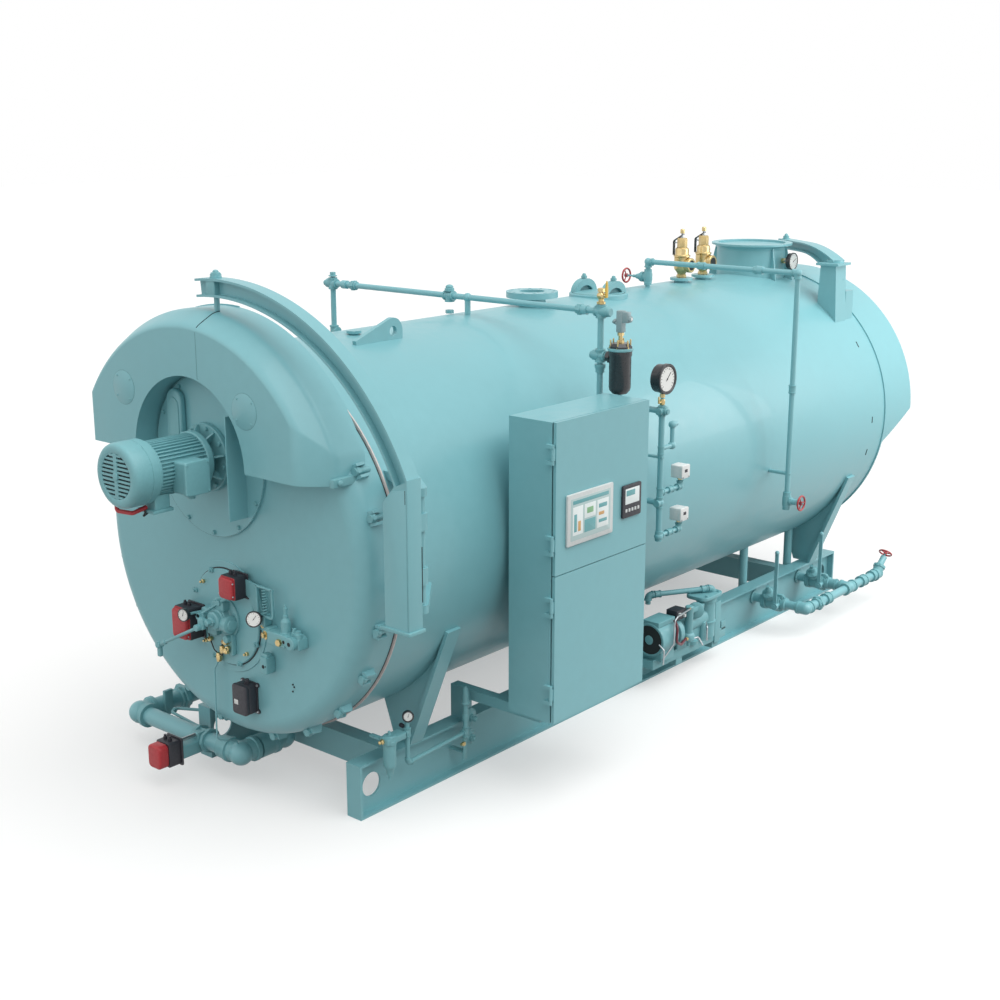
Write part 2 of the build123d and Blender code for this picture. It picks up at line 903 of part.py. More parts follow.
def davit_sector(start, end):
    # A wedge of the arc between two angles.
    reach = 2 * davit_radius
    turns = [radians(a) for a in (start, (start + end) / 2, end)]
    points = [(davit_x + reach * cos(a), davit_z + reach * sin(a)) for a in turns]
    return plate_xz([(davit_x, davit_z), *points], davit_y - davit_width, davit_y + davit_width)


def davit_ring(outer, inner, width):
    low, high = davit_y - width / 2, davit_y + width / 2
    ring = bar(outer, (davit_x, low, davit_z), (davit_x, high, davit_z))
    return ring - bar(inner, (davit_x, low - overrun, davit_z), (davit_x, high + overrun, davit_z))


def pin_bar(radius, low, high):
    # An upright round bar on the davit's pin.
    return bar(radius, (davit_pin_x, davit_pin_y, low), (davit_pin_x, davit_pin_y, high))


def make_davit():
    inner = davit_radius - davit_depth
    rings = join(
        davit_ring(davit_radius, davit_radius - davit_plate, davit_width),
        davit_ring(davit_radius - davit_plate, inner + davit_plate, davit_plate),
        davit_ring(inner + davit_plate, inner, davit_width),
    )
    arm = rings & davit_sector(davit_leg_angle, davit_tip_angle)
    leg_in = davit_leg_x - davit_leg_width
    back = davit_y + davit_width / 2
    front = davit_y - davit_width / 2 - davit_leg_proud
    turn = radians(davit_leg_angle)
    leg = plate_xz([
        (leg_in, davit_leg_bottom), (davit_leg_x, davit_leg_bottom), (davit_leg_x, davit_leg_top),
        (davit_x + inner * cos(turn), davit_z + inner * sin(turn)),
        (leg_in, davit_leg_top - davit_leg_shoulder),
    ], front, back)
    base = block((leg_in - davit_base_margin, front - davit_base_margin, davit_leg_bottom - davit_base_thick),
                 (davit_leg_x + davit_base_margin, back, davit_leg_bottom))
    nut_low = davit_top - davit_nut_sink
    davit = join(
        arm, leg, base,
        upright(davit_bolt_radius, 0, davit_y, housing_top, davit_top + davit_bolt_end),
        upright(davit_nut_radius, 0, davit_y, nut_low, nut_low + davit_nut_height),
    )
    for level in knuckle_levels:
        davit += pin_bar(knuckle_radius, level, level + knuckle_length)
        davit += block((davit_pin_x - knuckle_radius, back, level),
                       (davit_pin_x + knuckle_radius, davit_pin_y, level + knuckle_length))
    return davit - pin_bar(davit_pin_radius + pin_clearance, davit_leg_bottom - overrun, davit_leg_top)


def make_davit_bracket():
    bracket = pin_bar(davit_pin_radius, davit_lug_levels[0], davit_lug_levels[1] + davit_lug_thick)
    start = front_joint + band_width + davit_lug_setback
    end = start + davit_lug_length
    half = davit_lug_radius * sin(radians(45))
    for level in davit_lug_levels:
        near = shell_reach(level + davit_lug_thick / 2)
        lug = plate_xy([
            (davit_pin_x + half, davit_pin_y + half), (near + davit_lug_thick, end),
            (near - davit_lug_depth, end), (near - davit_lug_depth, start),
            (near + davit_lug_thick / 2, start), (davit_pin_x - half, davit_pin_y - half),
        ], level, level + davit_lug_thick)
        bracket += seated(join(lug, pin_bar(davit_lug_radius, level, level + davit_lug_thick)))
    return bracket


# Rear head

def make_rear_head():
    # The lower half is cut away on a slant that rises to the rear.
    rise = rear_slant_rise / rear_head_length

    def below_slant(start, lift):
        end = rear_head_end + overrun
        low = rear_slant_low + lift + rise * (start - rear_joint)
        high = rear_slant_low + lift + rise * (end - rear_joint)
        outline = [(start, low), (end, high), (end, 0), (start, 0)]
        return plate_yz(outline, -2 * shell_radius, 2 * shell_radius)

    front = rear_joint + seat_gap
    head = shell_bar(shell_radius, front, rear_head_end) - below_slant(rear_joint + rear_wall, 0)
    hollow = shell_bar(shell_radius - shell_wall, front + rear_wall, rear_head_end - rear_wall)
    return head - (hollow - below_slant(rear_joint - overrun, 2 * rear_wall))


def make_rear_davit():
    post = plate_xz([
        (post_left, post_foot), (post_right, post_foot),
        (post_right - post_taper, post_top), (post_left + post_taper, post_top),
    ], post_y, post_y + post_step_depth)
    step = block((post_left + post_step_inset, post_y + post_step_depth, post_foot),
                 (post_right - post_step_inset, post_y + post_depth, post_top - post_step_drop))
    cap = block((post_left, post_y - post_cap_margin, post_top),
                (post_right, post_y + post_step_depth + post_cap_margin, rear_boss_low))
    boss = upright(rear_boss_radius, post_x, rear_boss_y, rear_boss_low, rear_boss_top)
    return join(seated(join(post, step)), cap, boss)


def make_rear_arm():
    # A cranked arm from the post's boss to a lifting bolt over the head.
    run = Vector(post_x, rear_boss_y - rear_bolt_y).length
    end = run + rear_arm_tip
    top = rear_arm_rise
    arm = plate_yz([
        (-rear_boss_radius, 0), (run / 2, top), (end, top), (end, top - rear_arm_depth / 2),
        (run / 2, top - rear_arm_depth), (rear_boss_radius, 0),
    ], -rear_arm_width / 2, rear_arm_width / 2)
    turn = degrees(atan2(post_x, rear_bolt_y - rear_boss_y))
    arm = arm.moved(Location((post_x, rear_boss_y, rear_boss_top), (0, 0, turn)))
    bolt_top = rear_boss_top + top + davit_bolt_end
    bolt = upright(davit_bolt_radius, 0, rear_bolt_y, shell_top + seat_gap, bolt_top)
    return join(arm, bolt)


# Top fittings

def make_stack():
    seat = shell_height(stack_radius) - overrun
    outside = join(
        upright(stack_radius, 0, stack_y, seat, stack_top),
        upright(stack_flange_radius, 0, stack_y, stack_top - stack_flange_thick, stack_top),
    )
    inside = upright(stack_radius - stack_wall, 0, stack_y, seat - overrun, stack_top + overrun)
    return seated(outside) - inside


def make_nozzles():
    y = nozzle_y
    steam = join(
        upright(nozzle_radius, 0, y, shell_top - overrun, nozzle_top),
        upright(nozzle_flange_radius, 0, y, nozzle_top - nozzle_flange_thick, nozzle_top),
    )
    steam -= upright(nozzle_bore, 0, y, nozzle_top - nozzle_bore_depth, nozzle_top + overrun)
    for i in range(nozzle_bolts):
        turn = radians(360 / nozzle_bolts * (i + 0.5))
        across, along = nozzle_bolt_circle * cos(turn), nozzle_bolt_circle * sin(turn)
        low = nozzle_top - nozzle_flange_thick
        steam -= upright(nozzle_bolt_radius, across, y + along, low, nozzle_top + overrun)
    nozzles = seated(steam)
    for y in safety_y:
        nozzles += seated(join(
            upright(safety_neck_radius, 0, y, shell_top - overrun, safety_base_top),
            upright(safety_flange_radius, 0, y, safety_base_top - safety_flange_thick, safety_base_top),
        ))
    x, y = inspection_x, front_joint + inspection_setback
    top = shell_top + inspection_height
    plug = join(
        upright(inspection_neck, x, y, shell_top - overrun, top),
        upright(inspection_radius, x, y, top - inspection_flange, top),
    )
    return join(nozzles, seated(plug))


def make_manway():
    manway = seated(join(
        upright(manway_radius, 0, manway_y, shell_top - overrun, manway_cover),
        upright(manway_cover_radius, 0, manway_y, manway_cover, manway_top),
    ))
    foot = manway_cover_radius - yoke_thick
    top = manway_top + yoke_height
    outline = [
        (-foot, manway_top), (yoke_thick - foot, top), (foot - yoke_thick, top), (foot, manway_top),
        (foot - yoke_thick, manway_top), (foot - 2 * yoke_thick, top - yoke_thick),
        (2 * yoke_thick - foot, top - yoke_thick), (yoke_thick - foot, manway_top),
    ]
    for side in (-1, 1):
        y = manway_y + side * yoke_offset
        yoke = plate_xz(outline, y - yoke_width / 2, y + yoke_width / 2)
        manway += join(yoke, upright(yoke_bolt_radius, 0, y, manway_top, manway_top + yoke_bolt_height))
    return manway


def make_lifting_lug():
    # A sloping plate that stands along the shell, with one eye.
    foot = shell_height(lug_x)
    low, shoulder, top = foot - overrun, foot + lug_shoulder / 3, foot + lug_height
    start = front_joint + lug_setback
    end = start + lug_length
    eye = end - lug_hole_setback
    outline = [
        (start, low), (start, shoulder), (eye - lug_shoulder, top),
        (eye + lug_shoulder / 2, top), (end, shoulder), (end, low),
    ]
    lug = plate_yz(outline, lug_x - lug_thick / 2, lug_x + lug_thick / 2)
    z = top - lug_hole_drop
    lug -= bar(lug_hole_radius, (lug_x - lug_thick, eye, z), (lug_x + lug_thick, eye, z))
    return seated(lug)


def make_safety_valves():
    valves = Part()
    low = safety_base_top
    bonnet = low + safety_body_height
    cap = bonnet + safety_bonnet_height
    outlet = low + safety_outlet_height
    for y in safety_y:
        valves += join(
            upright(safety_radius, 0, y, low, bonnet),
            upright(safety_bonnet_radius, 0, y, bonnet, cap),
            upright(safety_cap_radius, 0, y, cap, cap + safety_cap_height),
            bar(safety_outlet_radius, (0, y, outlet), (safety_outlet_length, y, outlet)),
        )
    return valves


def make_thermometer():
    # A dial on a short stem in the side of the stack.
    y, z = stack_y, stack_top - thermometer_drop
    start = stack_radius + seat_gap
    dial = start + thermometer_stem_length
    return join(
        bar(thermometer_stem_radius, (start, y, z), (dial, y, z)),
        bar(thermometer_dial_radius, (dial, y, z), (dial + thermometer_dial_thick, y, z)),
    )


# Water columns and gauges

def make_header():
    y, z = header_y, header_z
    left, right = column_left + header_union_left, column_right - header_union_right
    return join(
        bar(pipe_radius, (column_left + fitting_radius, y, z), (column_right - fitting_radius, y, z)),
        seated(upright(pipe_radius, 0, y, shell_top - overrun, z)),
        ball(fitting_radius, (0, y, z)),
        bar(fitting_radius, (left, y, z), (left + header_union, y, z)),
        bar(fitting_radius, (right, y, z), (right + header_union, y, z)),
    )


def make_column(x, low, side):
    # A standpipe with a tee at the header and a nipple into the shell.
    y = header_y
    return join(
        upright(pipe_radius, x, y, low, header_z + column_end),
        upright(fitting_radius, x, y, header_z - column_tee, header_z + column_tee),
        ball(fitting_radius, (x, y, low)),
        seated(bar(pipe_radius, (x, y, low), (side * (shell_reach(low) - overrun), y, low))),
        bar(fitting_radius, (x, y, header_z), (x - side * fitting_radius, y, header_z)),
    )


def make_level_branch():
    # The right column's branch to its level control.
    z = header_z - level_branch_drop
    end = column_right + level_offset - level_radius - seat_gap
    branch = bar(pipe_radius, (column_right, header_y, z), (end, header_y, z))
    return join(ball(fitting_radius, (column_right, header_y, z)), branch)


def make_level_control():
    # A float chamber with its conduit head on a stem.
    x, y = column_right + level_offset, header_y
    top = level_bottom + level_height
    rim = top - level_rim_height
    head_low = top + conduit_head_rise
    wide, deep, tall = conduit_head_size
    return join(
        upright(level_radius, x, y, level_bottom, rim),
        upright(level_radius + level_rim, x, y, rim, top),
        upright(level_stem_radius, x, y, top, head_low),
        block((x - wide / 2, y - deep / 2, head_low), (x + wide / 2, y + deep / 2, head_low + tall)),
    )


def make_column_cock():
    x, y, low = column_right, header_y, header_z + column_end
    length, width, thick = cock_handle
    handle = low + cock_handle_rise
    return join(
        upright(cock_radius, x, y, low, low + cock_height),
        ball(cock_ball_radius, (x, y, low + cock_height / 2)),
        block((x, y - width / 2, handle - thick / 2), (x + length, y + width / 2, handle + thick / 2)),
    )


def make_manifold():
    x, y = gauge_x, gauge_y
    inside = shell_reach(manifold_top) - overrun
    manifold = join(
        upright(pipe_radius, x, y, manifold_bottom, manifold_top),
        upright(gauge_stem_radius, x, y, manifold_top, gauge_z - gauge_case - seat_gap),
    )
    for z in (manifold_top, manifold_low_bar, manifold_bottom):
        manifold += ball(fitting_radius, (x, y, z))
    for z in (manifold_top, manifold_low_bar):
        manifold += seated(bar(pipe_radius, (inside, y, z), (x, y, z)))
    low = manifold_top - siphon_drop
    far = y + siphon_run
    high = low + siphon_rise
    manifold += pipe([(x, y, low), (x, far, low), (x, far, high), (x, far + siphon_end, high)],
                     siphon_radius, siphon_fitting)
    far = y + switch_reach
    for level in switch_levels:
        low = level - switch_loop
        manifold += pipe([(x, y, low), (x, far, low), (x, far, level - switch_size / 2)],
                         switch_pipe_radius, switch_fitting)
    return manifold


def make_gauge():
    low, high = gauge_x - gauge_depth / 2, gauge_x + gauge_depth / 2
    rim = high - gauge_rim
    return join(
        bar(gauge_case, (low, gauge_y, gauge_z), (rim, gauge_y, gauge_z)),
        bar(gauge_radius, (rim, gauge_y, gauge_z), (high, gauge_y, gauge_z)),
    )


def make_switches():
    half = switch_size / 2
    y = gauge_y + switch_reach
    return join(*[block((gauge_x - half, y - half, z - half), (gauge_x + half, y + half, z + half))
                  for z in switch_levels])


# Control cabinet

def hinge_bar(radius, low, high):
    # An upright round bar on the doors' hinge axis.
    return bar(radius, (hinge_x, hinge_y, low), (hinge_x, hinge_y, high))


def hinge_levels(span):
    return (span[0] + hinge_inset, span[1] - hinge_inset - hinge_length)


def make_cabinet():
    t = cabinet_sheet
    body = block((cabinet_back, cabinet_left, cabinet_bottom), (cabinet_front, cabinet_right, cabinet_top))
    body -= block((cabinet_back + t, cabinet_left + t, cabinet_bottom + t),
                  (cabinet_front + overrun, cabinet_right - t, cabinet_top - t))
    for span in door_spans:
        for level in hinge_levels(span):
            body += hinge_bar(hinge_pin_radius, level - hinge_lug, level + hinge_length + hinge_lug)
            for low in (level - hinge_lug - hinge_play, level + hinge_length + hinge_play):
                body += hinge_bar(hinge_radius, low, low + hinge_lug)
                body += block((cabinet_front - hinge_strap, hinge_y - hinge_radius, low),
                              (hinge_x, cabinet_left, low + hinge_lug))
    return body


def make_door(span):
    door = block((cabinet_front + moving_gap, door_left, span[0]), (door_front, cabinet_right, span[1]))
    for level in hinge_levels(span):
        top = level + hinge_length
        door += hinge_bar(hinge_radius, level, top)
        door += block((hinge_x - hinge_leaf / 2, hinge_y, level), (hinge_x + hinge_leaf / 2, door_left, top))
        door -= hinge_bar(hinge_pin_radius + pin_clearance, level - hinge_play, top + hinge_play)
    return door


def make_operator_panel():
    front = door_front + screen_thick
    screen_left, screen_low = cabinet_left + screen_inset, cabinet_bottom + screen_rise
    screen_right = screen_left + screen_width
    left, low = screen_right + controller_gap, screen_low + controller_rise
    return join(
        block((door_front, screen_left, screen_low), (front, screen_right, screen_low + screen_height)),
        block((door_front, left, low), (front, left + controller_width, low + controller_height)),
    )


def make_cabinet_brackets():
    brackets = Part()
    top = cabinet_bottom
    inner = rail_inner
    pad_low, pad_high = axis_height - bracket_pad_height / 2, axis_height + bracket_pad_height / 2
    for y in (cabinet_left + bracket_inset, cabinet_right - bracket_inset):
        low, high = y - bracket_arm / 2, y + bracket_arm / 2
        arm = block((inner, low, top - bracket_arm), (cabinet_back + bracket_arm_reach, high, top))
        post = block((inner, low, rail_height), (rail_outer, high, top))
        brackets += seated(join(arm, post))
        pad = block((shell_reach(pad_low) - overrun, low, pad_low), (cabinet_back, high, pad_high))
        brackets += seated(pad)
    return brackets


# Surface blow line

def make_blow_line():
    y, z = blow_y, top_valve_z
    union = blow_x - blow_union_inset
    clip = blow_low + blow_clip_rise
    inside = shell_reach(clip) - overrun
    route = [(0, y, z), (0, y, blow_z), (blow_x, y, blow_z), (blow_x, y, blow_low)]
    return join(
        seated(upright(pipe_radius, 0, y, shell_top - overrun, z)),
        pipe(route, pipe_radius, fitting_radius),
        bar(fitting_radius, (union, y, blow_z), (union + blow_union_length, y, blow_z)),
        upright(valve_radius, 0, y, z - valve_half_length, z + valve_half_length),
        bar(bonnet_radius, (0, y, z), (-bonnet_length, y, z)),
        wheel_stem_bar((0, y, z), (top_wheel_x, y, z), (-1, 0, 0)),
        upright(valve_radius, blow_x, y, blow_low - valve_half_length, blow_low + valve_half_length),
        bar(bonnet_radius, (blow_x, y, blow_low), (blow_x + bonnet_length, y, blow_low)),
        wheel_stem_bar((blow_x, y, blow_low), (drop_wheel_x, y, blow_low), (1, 0, 0)),
        seated(bar(blow_clip_radius, (inside, y, clip), (blow_x, y, clip))),
    )


# Bottom blowdown

blowdown_wheel_axis = (0, sin(radians(blowdown_wheel_tilt)), cos(radians(blowdown_wheel_tilt)))


def blowdown_wheel_centre():
    return (blowdown_pipe_x, blowdown_pipe_end + blowdown_wheel_run, blowdown_z + blowdown_wheel_rise)


def make_blowdown_valves():
    valves = Part()
    z = blowdown_z
    drop = rail_inner - blowdown_radius - blowdown_drop_gap
    start = blowdown_valve_x - blowdown_body_length / 2
    end = blowdown_valve_x + blowdown_body_length / 2
    for y in blowdown_ys:
        valves += join(
            bar(blowdown_radius, (drop, y, z), (start, y, z)),
            bar(blowdown_flange_radius, (start - blowdown_flange_thick, y, z), (start, y, z)),
            bar(blowdown_body_radius, (start, y, z), (end, y, z)),
            bar(blowdown_flange_radius, (end, y, z), (end + blowdown_flange_thick, y, z)),
            bar(blowdown_radius, (end, y, z), (blowdown_pipe_x - blowdown_tee_length, y, z)),
            bar(lever_shaft_radius, (lever_x, y, z), (lever_x, y - lever_offset - lever_shaft_end, z)),
            seated(upright(blowdown_radius, drop, y, z, axis_height)),
            ball(blowdown_radius, (drop, y, z)),
        )
    return valves


def make_lever(y):
    mid = y - lever_offset
    low, high = blowdown_z, blowdown_z + lever_length
    return join(
        bar(lever_hub_radius, (lever_x, mid - lever_thick, low), (lever_x, mid + lever_thick, low)),
        block((lever_x - lever_width / 2, mid - lever_thick / 2, low),
              (lever_x + lever_width / 2, mid + lever_thick / 2, high)),
        ball(lever_knob_radius, (lever_x, mid, high)),
    ) - bar(lever_shaft_radius + pin_clearance, (lever_x, mid - lever_offset, low), (lever_x, y, low))


def make_blowdown_pipe():
    x, z = blowdown_pipe_x, blowdown_z
    first, second = blowdown_ys
    union = first + blowdown_union_start
    centre = blowdown_wheel_centre()
    end = (x, blowdown_pipe_end, z)
    neck = tuple(Vector(*centre) - Vector(*blowdown_wheel_axis) * blowdown_neck_end)
    line = join(
        bar(blowdown_radius, (x, first, z), end),
        ball(blowdown_tee_radius, end),
        bar(blowdown_tee_radius, (x, union, z), (x, union + blowdown_union_length, z)),
        bar(blowdown_neck_radius, end, neck),
        wheel_stem_bar(neck, centre, blowdown_wheel_axis),
    )
    for y in (first, second):
        line += bar(blowdown_tee_radius, (x - blowdown_tee_length, y, z), (x, y, z))
        line += ball(blowdown_tee_radius, (x, y, z))
    return line


# Air compressor set

def make_compressor_base():
    x, top = compressor_x, tray_top
    half = tray_arm_width / 2
    under = top - tray_thick
    base = block((rail_face, tray_front, under), (tray_reach, tray_rear, top))
    for step in tray_arm_steps:
        y = tray_front + step
        base += block((rail_face, y - half, under - tray_arm_depth),
                      (tray_reach - tray_arm_inset, y + half, under))
    start, end = compressor_motor_rear + seat_gap, tank_y
    half = pump_foot_width / 2
    air_x, air_z = x + air_pipe_offset, tank_top + air_pipe_rise
    left, right = tank_plate
    return join(
        base,
        upright(tank_radius, x, tank_y, top, tank_cap),
        block((x - left, tank_y - tank_plate_front, tank_cap),
              (x + right, tank_y + tank_plate_rear, tank_top)),
        bar(pump_radius, (x, start, compressor_motor_z), (x, end, compressor_motor_z)),
        block((x - half, start + pump_foot_inset, top), (x + half, end, compressor_motor_z)),
        pipe([(air_x, tank_y, tank_top), (air_x, tank_y, air_z), (*air_pipe_end, air_z),
              (*air_pipe_end, air_z - air_pipe_drop)], pipe_radius, fitting_radius),
    )


def make_compressor_motor():
    x, z = compressor_x, compressor_motor_z
    front, rear = compressor_motor_front, compressor_motor_rear
    half = motor_foot_width / 2
    return join(
        bar(compressor_motor_radius, (x, front, z), (x, rear, z)),
        block((x - half, front + motor_foot_inset, tray_top),
              (x + half, rear - motor_foot_inset, tray_top + motor_foot_rise)),
    )


# Gas line

def make_gas_pipe():
    shell_low = axis_height - sqrt(shell_radius**2 - gas_right**2)
    coupling = gas_y + gas_coupling_setback
    line = pipe([
        (gas_left, gas_inlet, gas_z), (gas_left, gas_y, gas_z), (gas_right, gas_y, gas_z),
        (gas_right, gas_riser_y, gas_z), (gas_right, gas_riser_y, shell_low + overrun),
    ], gas_radius, gas_fitting)
    flange = gas_inlet - gas_flange_thick
    line += bar(gas_flange_radius, (gas_left, flange, gas_z), (gas_left, gas_inlet, gas_z))
    line += bar(gas_fitting, (gas_right, coupling, gas_z), (gas_right, coupling + gas_coupling_length, gas_z))
    return seated(line)


def make_gas_actuator():
    # A box beside the pipe on an arm that reaches the pipe's axis.
    x, y, z = gas_actuator_x, gas_actuator_y, gas_z
    wide, deep, tall = gas_actuator_size
    side = x + wide / 2
    arm = block((side, y, z - gas_arm_height / 2), (side + gas_arm_width, gas_y, z + gas_arm_height / 2))
    arm -= bar(gas_radius + seat_gap, (gas_left, gas_y, gas_z), (gas_right, gas_y, gas_z))
    return join(block((x - wide / 2, y - deep / 2, z - tall / 2), (side, y + deep / 2, z + tall / 2)), arm)


# Air filter line

def make_filter_line():
    x, z = filter_x, filter_pipe_z
    link = filter_high - filter_link_drop
    wide, deep, tall = air_regulator_size
    centre_z = z + air_regulator_rise
    half = filter_gauge_depth / 2
    line = join(
        upright(filter_radius, x, filter_y, filter_low, filter_high),
        upright(filter_cup_radius, x, filter_y, filter_low - filter_cup_height, filter_low),
        bar(filter_link_radius, (x, filter_y, link), (x, filter_gauge_y, link)),
        upright(filter_pipe_radius, x, filter_gauge_y, z, filter_gauge_z),
        bar(filter_pipe_radius, (x, filter_gauge_y, z), (x, filter_pipe_end, z)),
        ball(filter_elbow_radius, (x, filter_gauge_y, z)),
        block((x - wide / 2, filter_pipe_end, centre_z - tall / 2),
              (x + wide / 2, filter_pipe_end + deep, centre_z + tall / 2)),
        bar(filter_gauge_radius, (x - half, filter_gauge_y, filter_gauge_z),
            (x + half, filter_gauge_y, filter_gauge_z)),
    )
    clip_low = z - filter_pipe_radius - filter_clip_thick / 2
    for y in (filter_gauge_y + filter_clip_setback, filter_pipe_end + deep / 2):
        line += block((rail_face, y - filter_clip_width / 2, clip_low),
                      (x, y + filter_clip_width / 2, clip_low + filter_clip_thick))
    return line


# All pieces by name

def make_all():
    right_low = (column_right, column_right_low, 1)
    left_low = (column_left, column_left_low, -1)
    return {
        "skid_rail_right": make_rail(1),
        "skid_rail_left": make_rail(-1),
        "skid_cross_beams": make_cross_beams(),
        "saddles": make_saddles(),
        "boiler_shell": make_shell(),
        "front_tube_sheet": make_front_sheet(),
        "rear_tube_sheet": make_rear_sheet(),
        "furnace_tube": make_furnace(),
        "front_head": make_head(),
        "head_refractory": make_refractory(),
        "fan_housing": make_housing(),
        "fan_inlet_plate": make_inlet(),
        "fan_motor": make_motor(),
        "burner": make_burner(),
        "burner_actuators": make_burner_actuators(),
        "burner_gas_block": make_gas_block(),
        "junction_box": make_junction_box(),
        "front_davit": make_davit(),
        "davit_bracket": make_davit_bracket(),
        "rear_head": make_rear_head(),
        "rear_davit_post": make_rear_davit(),
        "rear_davit_arm": make_rear_arm(),
        "stack": make_stack(),
        "top_nozzles": make_nozzles(),
        "manway": make_manway(),
        "lifting_lug": make_lifting_lug(),
        "safety_valves": make_safety_valves(),
        "stack_thermometer": make_thermometer(),
        "steam_header": make_header(),
        "water_column_right": join(make_column(*right_low), make_level_branch()),
        "water_column_left": make_column(*left_low),
        "level_control_right": make_level_control(),
        "column_cock": make_column_cock(),
        "gauge_manifold": make_manifold(),
        "pressure_gauge": make_gauge(),
        "limit_switches": make_switches(),
        "cabinet_body": make_cabinet(),
        "cabinet_upper_door": make_door(door_spans[0]),
        "cabinet_lower_door": make_door(door_spans[1]),
        "operator_panel": make_operator_panel(),
        "cabinet_brackets": make_cabinet_brackets(),
        "surface_blow_line": make_blow_line(),
        "top_valve_wheel": handwheel((top_wheel_x, blow_y, top_valve_z), (-1, 0, 0)),
        "drop_valve_wheel": handwheel((drop_wheel_x, blow_y, blow_low), (1, 0, 0)),
        "blowdown_valves": make_blowdown_valves(),
        "blowdown_lever_front": make_lever(blowdown_ys[0]),
        "blowdown_lever_rear": make_lever(blowdown_ys[1]),
        "blowdown_pipe": make_blowdown_pipe(),
        "blowdown_wheel": handwheel(blowdown_wheel_centre(), blowdown_wheel_axis),
        "compressor_set": make_compressor_base(),
        "compressor_motor": make_compressor_motor(),
        "gas_pipe": make_gas_pipe(),
        "gas_actuator": make_gas_actuator(),
        "air_filter_line": make_filter_line(),
    }


# The origin is on the ground, under the middle of the whole plan.
os.makedirs("parts", exist_ok=True)
pieces = make_all()
box = Compound(children=[Compound(p.solids()) for p in pieces.values()]).bounding_box()
shift = Location((-(box.min.X + box.max.X) / 2, -(box.min.Y + box.max.Y) / 2, -box.min.Z))
for name, piece in pieces.items():
    export_step(piece.moved(shift), f"parts/{name}.step")
print("plan shift", shift.position, "size", box.size)
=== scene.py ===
import bpy
import bmesh
import math
import numpy as np
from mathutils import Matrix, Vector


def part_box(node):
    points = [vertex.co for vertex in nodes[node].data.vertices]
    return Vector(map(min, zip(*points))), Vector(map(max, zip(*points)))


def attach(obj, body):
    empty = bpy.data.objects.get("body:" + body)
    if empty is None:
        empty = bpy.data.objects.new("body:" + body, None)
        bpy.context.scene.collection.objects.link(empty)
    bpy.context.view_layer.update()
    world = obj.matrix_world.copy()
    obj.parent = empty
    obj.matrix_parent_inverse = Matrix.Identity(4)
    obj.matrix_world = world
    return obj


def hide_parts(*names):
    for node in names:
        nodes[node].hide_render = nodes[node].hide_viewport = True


# Packaged fire-tube boiler: finishes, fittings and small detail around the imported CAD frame.
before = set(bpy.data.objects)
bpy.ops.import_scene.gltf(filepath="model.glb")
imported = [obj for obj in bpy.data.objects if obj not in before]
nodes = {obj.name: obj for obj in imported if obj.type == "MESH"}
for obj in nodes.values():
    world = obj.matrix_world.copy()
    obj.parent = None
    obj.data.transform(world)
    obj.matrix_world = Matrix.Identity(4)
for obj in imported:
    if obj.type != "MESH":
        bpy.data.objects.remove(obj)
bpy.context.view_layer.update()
print("frame loaded,", len(nodes), "nodes")

# Places below are millimetres in the boiler's own frame: x = 0 on the shell axis, z = 0 on the ground,
# and y = frontJoint where the shell meets the front head.
shell = dict(frontJoint=-2650.0, rearJoint=2424.0, radius=1000.0, axisHeight=1404.0)
shellLow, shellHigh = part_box("boiler_shell")
drawingShift = np.array([(shellLow.x + shellHigh.x) / 2, shellLow.y - shell["frontJoint"] / 1000, 0.0])

# Directions in that frame, seen by someone facing the rear.
toRight, toRear, upward = (1, 0, 0), (0, 1, 0), (0, 0, 1)
toLeft, toFront, downward = (-1, 0, 0), (0, -1, 0), (0, 0, -1)


def vec(*values):
    return np.array(values, float)


def unit(direction):
    direction = np.array(direction, float)
    return direction / np.linalg.norm(direction)


def crossAxes(axis):
    # two unit vectors square to the axis, the first as level as it can be
    axis = unit(axis)
    helper = vec(0, 0, 1) if abs(axis[2]) < 0.9 else vec(1, 0, 0)
    first = unit(np.cross(helper, axis))
    return first, np.cross(axis, first)


def gridFaces(rows, columns, closed=True):
    # quads between neighbouring rows of a grid whose columns run round
    r = np.arange(rows - 1)[:, None]
    c = np.arange(columns if closed else columns - 1)[None, :]
    n = (c + 1) % columns
    corners = [r * columns + c, r * columns + n, (r + 1) * columns + n, (r + 1) * columns + c]
    return np.stack(np.broadcast_arrays(*corners), -1).reshape(-1, 4).tolist()


def closedRings(rings):
    # rings[i, j] is the surface: j runs round, i runs along; the first and last ring are closed by flat caps
    rows, columns = rings.shape[:2]
    faces = gridFaces(rows, columns)
    last = (rows - 1) * columns
    faces += [list(range(columns)), list(range(last, last + columns))]
    return rings.reshape(-1, 3), faces


def turned(profile, base, axis, sides=28, twist=0.0):
    # lathe surface: point = base + axis * height + radius * (cos a, sin a) in the plane square to the axis
    rows = np.array(profile, float)
    rows[:, 0] = np.maximum(rows[:, 0], 0.02)
    angle = np.arange(sides) * 2 * np.pi / sides + twist
    first, second = crossAxes(axis)
    around = np.cos(angle)[:, None] * first + np.sin(angle)[:, None] * second
    rings = np.array(base, float) + rows[:, 1, None, None] * unit(axis) + rows[:, 0, None, None] * around
    return closedRings(rings)


def turnedRing(profile, base, axis, sides):
    # lathe surface whose profile closes on itself, last ring to first, so there are no caps across the middle
    points, faces = turned(profile, base, axis, sides)
    here = np.arange(sides)
    after, last = (here + 1) % sides, (len(profile) - 1) * sides
    return points, faces[:-2] + np.stack([last + here, last + after, after, here], -1).tolist()


def rodBetween(start, end, radius, sides=16, edge=0.0):
    # straight round bar from start to end with an optional small chamfer at both ends
    start, end = np.array(start, float), np.array(end, float)
    length = np.linalg.norm(end - start)
    rows = [(radius - edge, 0), (radius, edge), (radius, length - edge), (radius - edge, length)]
    return turned(rows if edge else [(radius, 0), (radius, length)], start, end - start, sides)


